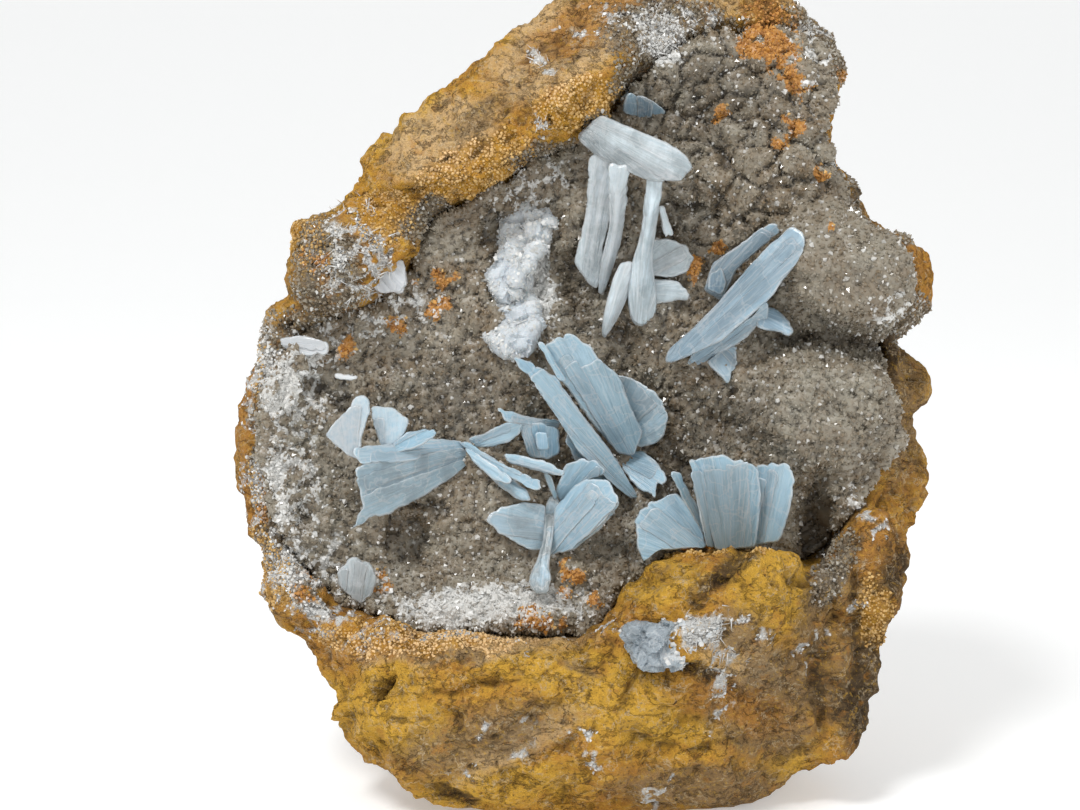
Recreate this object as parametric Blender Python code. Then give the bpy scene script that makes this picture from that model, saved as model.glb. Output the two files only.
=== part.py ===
"""Barite on matrix: a chunk of ochre limonite rock whose open front is a shallow vug,
lined with a crust of quartz druse, with sprays of pale blue bladed barite on it.

The open face leans back a little. Places on it are written in face millimetres:
a runs to the right, b runs up the face and c stands out of it. They are places as
seen from straight in front of the face, so a point that stands out is drawn in
towards the middle of the face by as much as the view from there enlarges it."""

import math

import bmesh
import bpy
from mathutils import Vector, noise

# Driving dimensions, in millimetres and degrees
MM = 0.001
LEAN = 10.0
VIEW_DISTANCE = 350.0
FACE_HEIGHT = 64.0
FACE_SETBACK = 0.5
FOOT_MIDDLE = 8.0
HUB = (10.0, 1.0)
CRUST_THICKNESS = 2.6
CRUST_LEAST = 1.2
GAP = 0.35
RIM_DROP = 7.0
BACK_DEPTH_TOP = 28.0
BACK_DEPTH_FOOT = 50.0
TOP_REACH = 74.0
FOOT_REACH = -68.0
EDGE_BEVEL = 0.6
CRUST_INSET = 1.5 * GAP
CRUST_LIFT = 2.5 * GAP
MOST_LIP_SHARE = 0.3
SHELL_HEIGHT = 2.0
BACK_ROUNDNESS = 0.55
BACK_FULLNESS = 0.9
GROUND_FOOT_SHARE = 0.9
KNOT_SIDES = 7

# Lumps of noise: how wide they are, how high they stand, and which noise they come from
BROAD_LUMPS = (10, 4.0, 0)
FINE_LUMPS = (5, 2.0, 5)
BED_LUMPS = (11, 1.6, 2)
BACK_LUMPS = (14, 0.12, 9)
GRAPE_LUMPS = (5.5, 2.6, 1)

# Where the rings of the rock and of the crust lie, as shares of their stretch
BED_RINGS = [step / 6 for step in range(1, 7)]
CRUST_RINGS = [step / 13 for step in range(1, 14)]
SHELL_RINGS = [0.10, 0.32, 0.56, 0.80, 1.0]
BACK_STEPS = 8
SHELL_STEP = 1.4
LIP_STEP = 2.4

# The outline of the rock, clockwise from the top, as (a, b)
RIM = [
    (13, 73), (20, 74), (26.5, 74), (34, 73), (39.5, 70), (43.5, 66), (48, 63.5),
    (50, 59.5), (50.5, 54.5), (48, 48.5), (48.5, 42), (50.5, 38), (52.5, 34), (56, 30),
    (60, 28.5), (63, 25), (64.5, 21), (64, 16.5), (60, 13.5), (57.5, 10.5), (60, 7.5),
    (65, 4), (64.5, 1), (62, -2), (62.5, -6.5), (64, -11.5), (63.5, -15.5), (60.5, -19.5),
    (61, -25.5), (60, -31), (58, -36.5), (56, -42), (54.5, -47.5), (54, -52.5), (53, -56),
    (48.5, -59), (43, -61), (37, -64.5), (32, -66.5), (20.5, -68), (8, -68), (-3.5, -68),
    (-15, -66), (-20.5, -64), (-25, -61), (-30.5, -55.5), (-33.5, -49.5), (-36.5, -43.5),
    (-39.5, -39), (-44.5, -35), (-45.5, -31), (-44.5, -27), (-46.5, -21), (-49.5, -15.5),
    (-51, -10), (-51, -4), (-50, 2.5), (-48.5, 8.5), (-46, 14), (-41.5, 17.5),
    (-41, 23.5), (-40.5, 28.5), (-37.5, 31.5), (-33, 34.5), (-28.5, 38), (-28.5, 41.5),
    (-25.5, 44), (-21.5, 47), (-16.5, 51), (-11.5, 55.5), (-6.5, 60), (-1.5, 63.5),
    (2.5, 67), (8, 71),
]

# The edge of the druse crust, clockwise from the top
DRUSE_EDGE = [
    (12, 48.5), (17.5, 55), (23.5, 59.5), (30, 61.5), (36.5, 61.5), (41.5, 61), (46, 59.5),
    (49, 54), (47, 48.5), (47.5, 42), (51.5, 34.5), (56, 29.5), (61.5, 26), (62.5, 20.5),
    (61.5, 16), (57, 12), (57, 7.5), (58.5, 3), (59.5, -2), (60, -6.5), (55.5, -12.5),
    (50.5, -18), (47, -26.5), (41, -25), (30, -23), (20.5, -25), (13, -31), (9, -38),
    (-5, -38), (-20, -37), (-34, -32), (-38.5, -27), (-43, -21), (-46.5, -12),
    (-46.5, -1), (-43.5, 8), (-37.5, 12.5), (-26.5, 17), (-21.5, 21.5), (-19, 28.5),
    (-14, 33), (-8.5, 35.5), (-1, 40), (5.5, 42.5),
]

# Swells and hollows: (a, b, half width, half height, turn, height, softness)
SHELL_SWELLS = {
    "top left plate": (-6, 52, 28, 13, 35, 10, 0.3),
    "top": (26, 66, 20, 8, 0, 6, 0.5),
    "knob tip": (62, 20, 6, 9, 0, 4, 0.5),
    "right block": (55, -30, 8, 13, 0, 10, 0.3),
    "ledge": (29, -32, 16, 11, -6, 22, 0.25),
    "lower bulge": (3, -52, 44, 18, 0, 19, 0.45),
    "lower right": (46, -49, 12, 15, 0, 13, 0.4),
    "lower left rim": (-37, -33, 12, 8, -35, 7, 0.4),
    "left lump": (-31, 26, 12, 12, 0, 8, 0.4),
}
FLOOR_SWELLS = {
    "right slope": (47, -2, 20, 30, 0, 4, 0.7),
    "right middle dome": (48, 0, 13, 11, 0, 10, 0.5),
    "right knob": (52, 22, 14, 9, -22, 15, 0.4),
    "upper right lumps": (38, 44, 13, 13, 0, 7, 0.6),
    "top of the vug": (26, 57, 16, 8, 0, 5, 0.6),
    "foot of the lip": (-12, -36, 24, 5, 0, 4, 0.6),
    "left wall": (-43, -5, 6, 24, 0, 4, 0.5),
}
FLOOR_HOLLOWS = {
    "left floor": (-28, -2, 20, 26, 0, -3, 0.7),
    "central dish": (13, -7, 15, 15, 0, -7, 0.6),
    "groove": (49, 10, 12, 2.5, -10, -6, 0.6),
    "white band": (-2, 23, 6, 13, 0, -4, 0.5),
    "small pit": (-23, -23, 5, 4, 0, -7, 0.5),
    "central cleft": (24, -11, 4, 7, 0, -7, 0.5),
    "cleft behind the columns": (6, 20, 5, 8, 0, -4, 0.5),
    "dark gap": (45, -22, 4, 9, 0, -8, 0.4),
}

# Broken faces of the back: (a, b and c of the direction, distance from the hub)
FRACTURES = [
    (0.05, 0.25, -0.97, 31),
    (-0.62, 0.10, -0.78, 40),
    (0.64, -0.05, -0.77, 43),
    (0.10, -0.40, -0.91, 47),
    (-0.45, -0.55, -0.70, 55),
    (0.45, 0.60, -0.66, 52),
]

LIMONITE_OCHRE = (0.46, 0.27, 0.08)
DRUSE_BROWN = (0.24, 0.20, 0.16)
BARITE_BLUE = (0.42, 0.55, 0.63)
BARITE_WHITE = (0.72, 0.74, 0.73)


def blade(outline, root, tip, low, high, roll=0.0, thick=1.5):
    """A tabular crystal: its outline, and how its face runs from the root to the tip.
    The face lies low above the spray's base at the root, and high above it at the tip.
    Roll is how much it rises for each millimetre across."""
    return {"outline": outline, "root": root, "tip": tip, "low": low,
            "high": high, "roll": roll, "thick": thick}


def knot(a, b, radius, height, thick=5.0):
    """The low hump of grown-together crystal that a spray's blades rise from."""
    corners = [
        (a + radius * math.cos(turn), b + radius * math.sin(turn))
        for turn in (math.tau * side / KNOT_SIDES for side in range(KNOT_SIDES))
    ]
    return blade(corners, (a, b), (a + 1, b), height, height, 0.0, thick)


# The sprays. A spray's base is the level of the ground under its first shape.
SPRAYS = {
    "barite_centre_fan": [
        knot(14.5, -9.5, 5, 2.5),
        blade([(2.5, 11), (5, 11.5), (8.5, 9.5), (11, 6.5), (13, 5), (15, -0.5), (17, -4.5),
               (15.5, -8.5), (13, -8), (8.5, -3), (4, 3.5), (0.5, 9.5)],
              (15, -9.5), (2.5, 11), -1, 13, -0.35, 1.8),
        blade([(-4.5, 8), (-2.5, 7.5), (2.5, 5), (6.5, -1), (12, -8), (16.5, -15.5),
               (15, -15.5), (12.5, -13.5), (6.5, -8), (2.5, -1.5), (-2, 5)],
              (16, -14.5), (-4, 8), -1, 14, 0.5, 1.8),
        blade([(12.5, 5), (17, 3.5), (20, 1), (21, -3.5), (19, -6.5), (16.5, -7),
               (14.5, -6), (13, 1)],
              (14, -5), (20.5, 0.5), 1.5, 7, 0.1, 1.4),
        blade([(12, -8), (15, -8), (17, -7.5), (19.5, -9.5), (21, -12), (19, -15.5),
               (17, -14.5), (15, -12.5)],
              (14.5, -10), (20, -13), 1, 5, -0.1, 1.4),
        blade([(4.5, -4), (6, -4.5), (8.5, -7.5), (13, -9), (13, -12), (10.5, -14), (8, -12),
               (6, -9.5), (4.5, -6.5)],
              (12, -11), (4.5, -5), 1.5, 7, 0.2, 1.5),
    ],
    "barite_left_spray": [
        knot(-11.5, -7.5, 5, 3),
        knot(-3, -8, 5, 2.5),
        blade([(-31, -7), (-24, -6.5), (-17.5, -5.5), (-12.5, -6), (-12, -7), (-16.5, -8),
               (-22, -9.5), (-30, -9.5)],
              (-12.5, -6.5), (-30.5, -8), 0.5, 11, 0.35, 1.6),
        blade([(-30.5, -10), (-23, -8.5), (-16.5, -7.5), (-12.5, -7), (-11, -9), (-14.5, -12),
               (-20, -15.5), (-25, -18), (-28, -18.5), (-30, -14)],
              (-12, -8.5), (-29, -14.5), 0.5, 10, -0.45, 1.6),
        blade([(-30, 1.5), (-29, 1.5), (-28, 0), (-28.5, -2.5), (-29.5, -5.5), (-29.5, -9),
               (-31.5, -8.5), (-35.5, -5), (-34, -3), (-32, -1)],
              (-30.5, -7.5), (-29.5, 1), 10.5, 12, 0.2, 1.8),
        blade([(-28, -0.5), (-26, 0), (-24, -0.5), (-21.5, -2.5), (-22, -4), (-24, -7.5),
               (-26, -7.5), (-27.5, -3)],
              (-25, -7), (-25, -0.5), 7, 8, 0.1, 1.6),
        blade([(-24.5, -6.5), (-22, -4.5), (-19, -4), (-17, -4), (-17, -5), (-20, -7), (-24, -8)],
              (-23, -7), (-17, -4), 6.5, 6.5, 0.1, 1.3),
        blade([(-13.5, -6), (-12, -6), (-6.5, -9.5), (0, -12.5), (0, -14), (-2, -13.5),
               (-6.5, -11.5), (-11.5, -8)],
              (-13, -6.5), (0, -13), 1, 7, 0.3, 1.3),
        blade([(-10, -9.5), (-8, -9.5), (-1.5, -14.5), (-1.5, -16), (-3, -16), (-7.5, -13)],
              (-9, -11), (-1.5, -15.5), 2.2, 5, 0.2, 1.6),
        blade([(-12, -5.5), (-10, -5), (-6, -3), (-3, -2.5), (-3, -4.5), (-5, -6), (-8, -7),
               (-11, -7)],
              (-11.5, -6.5), (-3, -3), 1, 6, 0.3, 1.5),
        blade([(-7, -0.5), (-5.5, -1), (-1.5, -2), (3.5, -2.5), (3, -4), (-1.5, -3.5),
               (-5.5, -3)],
              (3, -3), (-7, -1), 0.5, 9, 0.1, 1.6),
        blade([(-6, -8), (-4.5, -8), (0, -9), (3.5, -10.5), (4, -11.5), (1.5, -11.5),
               (-3.5, -10), (-5.5, -9.5)],
              (-6, -8.5), (3.5, -11), 1.5, 5, 0.2, 1.3),
        blade([(-3.5, -3), (1, -3), (3.2, -4), (3.2, -8), (1.5, -9), (-2, -8.5)],
              (-1, -8), (-2.5, -3.5), 1.5, 4, 0.1, 1.8),
    ],
    "barite_lower_spray": [
        knot(2.5, -18, 4, 2.5),
        blade([(1, -16), (2, -14.5), (3.5, -16), (2.5, -19), (2, -23), (1.5, -26.5), (2, -29),
               (1, -31.5), (-1, -31), (-2, -29), (-0.5, -25.5), (0.5, -22.5)],
              (2, -16), (-0.5, -30.5), 1, 9.5, 0.5, 1.8),
        blade([(1, -25), (1.5, -21.5), (2.5, -17), (5.5, -13.5), (8, -12), (10.5, -12),
               (12.5, -14.5), (13, -16), (10, -20), (5, -24)],
              (1.5, -24), (11.5, -12.5), 3, 9, -0.3, 1.6),
        blade([(-9, -19), (-7, -17), (-4.5, -16.5), (-2.5, -16), (1, -16.5), (1, -20.5),
               (0.5, -24), (-1.5, -24), (-4.5, -22.5), (-7, -21)],
              (1, -20.5), (-8.5, -19), 1.5, 5, 0.1, 1.2),
    ],
    "barite_right_book": [
        knot(30, -20, 5, 2.5),
        blade([(24.5, -9), (27.5, -8.5), (30.5, -8.5), (33.5, -9), (36, -10.5), (36.5, -15),
               (36, -20.5), (35.5, -23.5), (29, -24), (27, -17.5)],
              (31.5, -23.5), (30.5, -8.5), 1, 9.5, -0.1, 1.8),
        blade([(35.5, -10), (39, -9.5), (41.5, -10), (42, -12.5), (41.5, -16), (40.5, -20),
               (39.5, -22.5), (34, -23.5), (35, -15.5)],
              (37.5, -23), (40.5, -10), 2, 8, -0.4, 1.8),
        blade([(24.5, -9), (25.5, -9), (28, -14), (30, -23.5), (27.5, -23.5), (26, -16.5)],
              (28.5, -23.5), (25, -9), 1, 11, 0.8, 1.4),
        blade([(21.5, -11), (23, -11), (25, -15), (28, -20), (27, -21.5), (23.5, -15.5)],
              (26.5, -20), (22, -11), 1.5, 9, 0.3, 1.4),
        blade([(15.5, -19), (18, -16), (20, -15.5), (22.5, -14.5), (25, -17), (26.5, -19.5),
               (27.5, -23.5), (19.5, -24), (17, -25), (16, -23)],
              (25, -23), (16.5, -17.5), 1, 1.5, 0.1, 1.8),
    ],
    "barite_upper_right_blades": [
        knot(25.5, 10, 4, 2.5),
        knot(29.5, 17, 4.5, 3.3),
        blade([(20.5, 7), (21, 9), (25, 12.5), (29, 16.5), (32, 20), (35.5, 24), (38.5, 27),
               (41.5, 29.5), (43.5, 28.5), (44, 26.5), (42.5, 23.5), (40, 20.5), (38.5, 18),
               (34.5, 14.5), (30, 10.5), (25.5, 8.5), (22, 7)],
              (24.5, 10), (43, 27.5), 3, 13, -0.45, 2.2),
        blade([(27, 19), (28.5, 23.5), (33, 26.5), (37, 29.5), (39.5, 30), (39.5, 28.5),
               (36.5, 26), (32.5, 22.5), (30, 17)],
              (29, 19.5), (39, 29.5), 1.5, 9, 0.4, 1.8),
        blade([(24, 6.5), (25, 8.5), (30, 11), (34.5, 14.5), (37.5, 17), (37.5, 14.5),
               (34, 11), (29, 8), (26, 6.5)],
              (26.5, 8), (37, 15.5), 1, 8, 0.5, 1.6),
        blade([(35, 15), (37, 16.5), (39, 16), (42, 13), (41.5, 11.5), (39.5, 12), (36, 12.5)],
              (36.5, 14.5), (41.5, 12), 6.5, 7, -0.2, 2.0),
    ],
    "barite_mushroom_spray": [
        knot(16, 16, 4.5, 2.5),
        knot(10, 20.5, 4.5, 0),
        blade([(6, 44.5), (10, 48), (14.5, 46), (20.5, 43.5), (24, 41.5), (25.5, 39.5),
               (23.5, 37), (18.5, 36.8), (15.5, 38), (12.5, 39.5), (10, 40.5), (6.5, 43.5)],
              (10, 47), (22, 37), 1.5, 19, 0.0, 2.0),
        blade([(17, 39), (21, 39), (19.5, 30), (18.5, 23.5), (19.5, 17.5), (19, 14), (17, 12.5),
               (15, 13.5), (14.5, 18.5), (14.5, 23), (16.5, 30)],
              (16.5, 13), (19, 37), 0, 15.5, 0.2, 2.6),
        blade([(13, 23.5), (15.5, 24), (15, 19), (13, 14.5), (10.5, 10.5), (10, 12), (11, 17.5)],
              (11, 11.5), (14.5, 23), -1, 5, 0.3, 1.8),
        blade([(8.5, 42), (12, 41.5), (12, 32), (10.5, 26.5), (9.5, 19), (8, 20), (5.5, 23.5),
               (6.5, 27), (7.5, 31.5)],
              (7.5, 20), (10.5, 39.5), -2.0, 6.1, -0.2, 2.2),
        blade([(11.5, 40), (15, 39.5), (13.5, 27), (12, 22.5), (10.5, 18), (9.5, 18),
               (10, 23.5), (11.5, 29.5)],
              (10, 18.5), (13.5, 37.5), -1, 10.5, 0.2, 2.2),
        blade([(17, 27), (21, 27.5), (24, 26.5), (25.5, 24.5), (24.5, 22), (22, 21), (17, 21.5)],
              (18.5, 22.5), (24.5, 25.5), 3.8, 4.5, 0.1, 1.6),
        blade([(17, 21), (23, 20.5), (25, 18.5), (24.5, 17.5), (21, 17), (17, 16)],
              (18.5, 18.5), (24.5, 18), 2, 3.5, 0.2, 1.8),
    ],
    "small_top_plate": [
        blade([(13.5, 48.5), (14.5, 51.5), (18, 50.5), (21, 48.5), (20.5, 47.2), (16, 47.2)],
              (17, 47.5), (17, 50.5), 0.5, 5, 0.1, 2.5),
    ],
    "white_blade_cluster": [
        knot(-5.5, 20.5, 3, 4.5, 7),
        blade([(-10, 20), (-6.5, 20.5), (-1.5, 18), (0, 12.5), (-2, 9.5), (-5.5, 8), (-10, 12),
               (-10.5, 15.5)],
              (-6, 19.5), (-4.5, 9), 1.5, 6, 0.1, 2.0),
        blade([(-5, 32.5), (1, 35), (2, 30), (0, 25), (-4, 20), (-7, 21)],
              (-3.5, 32.5), (-4.5, 21.5), 1, 5, 0.3, 1.8),
    ],
    "pale_left_plate": [
        blade([(-28, 24), (-22.5, 24), (-22, 21), (-22.5, 18.5), (-26.5, 18.5), (-28, 20)],
              (-27, 23.5), (-23, 18.5), 1.5, 2, 0.1, 3.5),
    ],
    "far_left_blade": [
        blade([(-43, 11), (-39.5, 11.5), (-35, 10.5), (-35, 8.5), (-39, 8), (-42.5, 9.5)],
              (-42, 10.5), (-35.5, 9.5), 1.5, 3, 0.3, 3.5),
    ],
    "lower_left_plate": [
        blade([(-33, -26.5), (-30, -24.5), (-27, -27.5), (-27.5, -30), (-30, -33), (-32.5, -30)],
              (-30.5, -32.5), (-29.5, -25.5), 1.5, 4, 0.1, 4.0),
    ],
    "lip_seam": [
        blade([(13, -36.5), (18, -35.5), (27.5, -35), (30, -36.5), (26.5, -40), (23.5, -44),
               (16.5, -44), (14, -40)],
              (18, -36), (20, -44), 2.2, 2.6, 0.0, 6.0),
    ],
}
CHALKY = ("small_top_plate", "white_blade_cluster", "pale_left_plate", "far_left_blade",
          "lower_left_plate", "lip_seam")


def clear_scene():
    for old in list(bpy.data.objects):
        bpy.data.objects.remove(old, do_unlink=True)


def place(a, b, c):
    """A point of the face, in metres, from where it is seen and how far it stands out."""
    drawn_in = 1 - max(c, 0.0) / VIEW_DISTANCE
    lean = math.radians(LEAN)
    across = a * drawn_in - FOOT_MIDDLE
    up = b * drawn_in
    depth = FACE_SETBACK + up * math.sin(lean) - c * math.cos(lean)
    height = FACE_HEIGHT + up * math.cos(lean) + c * math.sin(lean)
    return Vector((across, depth, height)) * MM


def smooth_step(low, high, value):
    share = min(max((value - low) / (high - low), 0.0), 1.0)
    return share * share * (3 - 2 * share)


def swell(a, b, shape):
    """The height that one swell or hollow adds at (a, b)."""
    middle_a, middle_b, half_a, half_b, turn, height, softness = shape
    angle = math.radians(turn)
    along = (a - middle_a) * math.cos(angle) + (b - middle_b) * math.sin(angle)
    across = (b - middle_b) * math.cos(angle) - (a - middle_a) * math.sin(angle)
    reach = math.hypot(along / half_a, across / half_b)
    return height * (1 - smooth_step(1 - softness, 1 + softness, reach))


def lumps(a, b, kind):
    size, height, seed = kind
    return height * noise.noise(Vector((a / size, b / size, seed)))


def shell_level(a, b):
    """How far the bare rock stands out at (a, b)."""
    raised = max(swell(a, b, shape) for shape in SHELL_SWELLS.values())
    return SHELL_HEIGHT + raised + lumps(a, b, BROAD_LUMPS) + lumps(a, b, FINE_LUMPS)


def floor_level(a, b):
    """How far the bed under the crust stands out at (a, b)."""
    raised = max(swell(a, b, shape) for shape in FLOOR_SWELLS.values())
    hollow = min(swell(a, b, shape) for shape in FLOOR_HOLLOWS.values())
    return raised + hollow + lumps(a, b, BED_LUMPS)


def grape_lumps(a, b):
    """The rounded lumps of the crust's own surface."""
    size, height, seed = GRAPE_LUMPS
    nearest = noise.voronoi(Vector((a / size, b / size, seed)))[0][0]
    return height * (0.5 - nearest)


def direction(point):
    across = point[0] - HUB[0]
    up = point[1] - HUB[1]
    length = math.hypot(across, up)
    return across / length, up / length, length


def reach_of_druse(ray):
    """How far from the hub the crust's edge lies along a ray."""
    for start, end in zip(DRUSE_EDGE, DRUSE_EDGE[1:] + DRUSE_EDGE[:1]):
        side = (end[0] - start[0], end[1] - start[1])
        from_hub = (start[0] - HUB[0], start[1] - HUB[1])
        cross = ray[0] * side[1] - ray[1] * side[0]
        if abs(cross) < 1e-9:
            continue
        along = (from_hub[0] * side[1] - from_hub[1] * side[0]) / cross
        share = (from_hub[0] * ray[1] - from_hub[1] * ray[0]) / cross
        if along > 0 and 0 <= share <= 1:
            return along
    raise ValueError("the crust's edge doesn't close round the hub")


class Spoke:
    """One ray of the face, from the hub to the outline."""

    def __init__(self, rim_point):
        self.right, self.up, self.rim = direction(rim_point)
        self.druse = min(reach_of_druse((self.right, self.up)), self.rim - SHELL_STEP)
        self.bed = [self.floor_at(share * self.druse) for share in BED_RINGS]

    def at(self, reach):
        return HUB[0] + self.right * reach, HUB[1] + self.up * reach

    def floor_at(self, reach):
        return floor_level(*self.at(reach))

    def bed_at(self, reach):
        """The bed's level between its rings, where its facets are flat."""
        step = min(reach / self.druse, 1.0) * len(BED_RINGS)
        inner = min(int(step), len(BED_RINGS) - 1)
        levels = [floor_level(*HUB)] + self.bed
        return levels[inner] + (levels[inner + 1] - levels[inner]) * (step - inner)

    def bed_ring(self, number):
        reach = BED_RINGS[number] * self.druse
        return (*self.at(reach), self.bed[number])

    def crust_back(self, number):
        reach = BED_RINGS[number] * self.druse
        if number == len(BED_RINGS) - 1:
            reach -= CRUST_INSET
            return (*self.at(reach), self.bed_at(reach) + CRUST_LIFT)
        return (*self.at(reach), self.bed_at(reach) + GAP)

    def crust_front(self, share):
        reach = share * (self.druse - CRUST_INSET)
        a, b = self.at(reach)
        level = floor_level(a, b) + CRUST_THICKNESS + grape_lumps(a, b)
        return a, b, max(level, self.bed_at(reach) + CRUST_LIFT + CRUST_LEAST)

    def shell_ring(self, share):
        stretch = self.rim - self.druse
        share = max(share, min(LIP_STEP / stretch, MOST_LIP_SHARE))
        a, b = self.at(self.druse + stretch * share)
        return a, b, shell_level(a, b) - RIM_DROP * share ** 3

    def back_ring(self, step):
        turn = math.radians(90 * step / (BACK_STEPS + 1))
        a, b = self.at(self.rim * math.cos(turn) ** BACK_ROUNDNESS)
        low = (TOP_REACH - b) / (TOP_REACH - FOOT_REACH)
        depth = BACK_DEPTH_TOP + (BACK_DEPTH_FOOT - BACK_DEPTH_TOP) * low
        edge_level = self.shell_ring(1.0)[2]
        wobble = 1 + lumps(a, b, BACK_LUMPS)
        level = edge_level * math.cos(turn) - depth * wobble * math.sin(turn) ** BACK_FULLNESS
        return broken_back((a, b, level))


def broken_back(point):
    """A point of the back, moved in onto any broken face that it stands out of."""
    spot = Vector((point[0] - HUB[0], point[1] - HUB[1], point[2]))
    for *facing, distance in FRACTURES:
        outward = Vector(facing).normalized()
        spot -= outward * max(outward.dot(spot) - distance, 0.0)
    return spot.x + HUB[0], spot.y + HUB[1], spot.z


def loft(name, first_pole, rings, last_pole, turned=0):
    """A closed skin over rings of equal length, from one pole to the other.
    The last turned gaps between rings have their facets split the other way,
    which makes the crust's back match the bed that it lies on."""
    mesh = bmesh.new()
    count = len(rings[0])
    loops = [[mesh.verts.new(place(*point)) for point in ring] for ring in rings]
    start = mesh.verts.new(place(*first_pole))
    end = mesh.verts.new(place(*last_pole))
    for spot in range(count):
        after = (spot + 1) % count
        mesh.faces.new((start, loops[0][spot], loops[0][after]))
        mesh.faces.new((end, loops[-1][after], loops[-1][spot]))
        for number in range(len(loops) - 1):
            inner, outer = loops[number], loops[number + 1]
            if number < len(loops) - 1 - turned:
                mesh.faces.new((inner[spot], outer[spot], outer[after]))
                mesh.faces.new((inner[spot], outer[after], inner[after]))
            else:
                mesh.faces.new((inner[spot], outer[spot], inner[after]))
                mesh.faces.new((outer[spot], outer[after], inner[after]))
    bmesh.ops.recalc_face_normals(mesh, faces=mesh.faces)
    return mesh_object(name, mesh)


def mesh_object(name, mesh):
    data = bpy.data.meshes.new(name)
    mesh.to_mesh(data)
    mesh.free()
    made = bpy.data.objects.new(name, data)
    bpy.context.scene.collection.objects.link(made)
    return made


def give_material(made, name, colour, roughness):
    material = bpy.data.materials.new(name)
    material.use_nodes = True
    shader = material.node_tree.nodes["Principled BSDF"]
    shader.inputs["Base Color"].default_value = (*colour, 1)
    shader.inputs["Roughness"].default_value = roughness
    made.data.materials.clear()
    made.data.materials.append(material)


def flatten_foot(made):
    """Cuts the rock off level at the height it stands on."""
    mesh = bmesh.new()
    mesh.from_mesh(made.data)
    everything = mesh.verts[:] + mesh.edges[:] + mesh.faces[:]
    cut = bmesh.ops.bisect_plane(mesh, geom=everything, plane_co=(0, 0, 0),
                                 plane_no=(0, 0, 1), clear_inner=True)
    rim = [edge for edge in cut["geom_cut"] if isinstance(edge, bmesh.types.BMEdge)]
    bmesh.ops.edgeloop_fill(mesh, edges=rim)
    bmesh.ops.recalc_face_normals(mesh, faces=mesh.faces)
    mesh.to_mesh(made.data)
    mesh.free()


def build_matrix(spokes):
    hub_level = floor_level(*HUB)
    rings = [[spoke.bed_ring(number) for spoke in spokes] for number in range(len(BED_RINGS))]
    rings += [[spoke.shell_ring(share) for spoke in spokes] for share in SHELL_RINGS]
    rings += [[spoke.back_ring(step) for spoke in spokes] for step in range(1, BACK_STEPS + 1)]
    back = broken_back((*HUB, -BACK_DEPTH_FOOT))
    rock = loft("limonite_matrix", (*HUB, hub_level), rings, back)
    flatten_foot(rock)
    give_material(rock, "limonite", LIMONITE_OCHRE, 0.85)


def crust_front_rings(spokes, lift=0.0):
    rings = []
    for share in CRUST_RINGS:
        ring = [spoke.crust_front(share) for spoke in spokes]
        rings.append([(a, b, level + lift) for a, b, level in ring])
    return rings


def hub_of_crust(lift=0.0):
    return *HUB, floor_level(*HUB) + CRUST_THICKNESS + grape_lumps(*HUB) + lift


def build_crust(spokes):
    rings = crust_front_rings(spokes)
    for number in reversed(range(len(BED_RINGS))):
        rings.append([spoke.crust_back(number) for spoke in spokes])
    back = (*HUB, floor_level(*HUB) + GAP)
    crust = loft("quartz_druse", hub_of_crust(), rings, back, len(BED_RINGS) - 1)
    give_material(crust, "druse", DRUSE_BROWN, 0.45)


def build_ground(spokes):
    """The space that rock and crust fill, and a gap more, which trims the sprays' roots."""
    rings = crust_front_rings(spokes, GAP)
    for share in SHELL_RINGS:
        ring = [spoke.shell_ring(share) for spoke in spokes]
        rings.append([(a, b, level + GAP) for a, b, level in ring])
    floor = -BACK_DEPTH_TOP
    rings.append([(*spoke.at(GROUND_FOOT_SHARE * spoke.rim), floor) for spoke in spokes])
    ground = loft("ground", hub_of_crust(GAP), rings, (*HUB, floor))
    ground.hide_render = True
    ground.display_type = "WIRE"
    return ground


def inside_druse(a, b):
    right, up, reach = direction((a, b))
    return reach < reach_of_druse((right, up))


def ground_level(a, b):
    if inside_druse(a, b):
        return floor_level(a, b) + CRUST_THICKNESS
    return shell_level(a, b)


def add_blade(mesh, shape, base):
    """One tabular crystal with a bevelled edge all round."""
    root = shape["root"]
    tip = shape["tip"]
    length = math.dist(root, tip)
    right = (tip[0] - root[0]) / length
    up = (tip[1] - root[1]) / length
    climb = (shape["high"] - shape["low"]) / length
    outline = shape["outline"]
    middle_a = sum(point[0] for point in outline) / len(outline)
    middle_b = sum(point[1] for point in outline) / len(outline)

    def face_level(a, b):
        along = (a - root[0]) * right + (b - root[1]) * up
        across = (b - root[1]) * right - (a - root[0]) * up
        return base + shape["low"] + climb * along + shape["roll"] * across

    def drawn_in(a, b, by):
        reach = math.hypot(a - middle_a, b - middle_b)
        share = 1 - min(by / reach, 0.5)
        return middle_a + (a - middle_a) * share, middle_b + (b - middle_b) * share

    loops = []
    for bevel, down in ((EDGE_BEVEL, 0.0), (0.0, 0.5), (EDGE_BEVEL, 1.0)):
        loop = []
        for a, b in outline:
            a, b = drawn_in(a, b, bevel)
            loop.append(mesh.verts.new(place(a, b, face_level(a, b) - down * shape["thick"])))
        loops.append(loop)
    faces = [mesh.faces.new(loops[0]), mesh.faces.new(list(reversed(loops[2])))]
    for upper, lower in zip(loops, loops[1:]):
        for spot in range(len(outline)):
            after = (spot + 1) % len(outline)
            faces.append(mesh.faces.new((upper[spot], lower[spot], lower[after], upper[after])))
    bmesh.ops.recalc_face_normals(mesh, faces=faces)
    bmesh.ops.triangulate(mesh, faces=faces)


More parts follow.
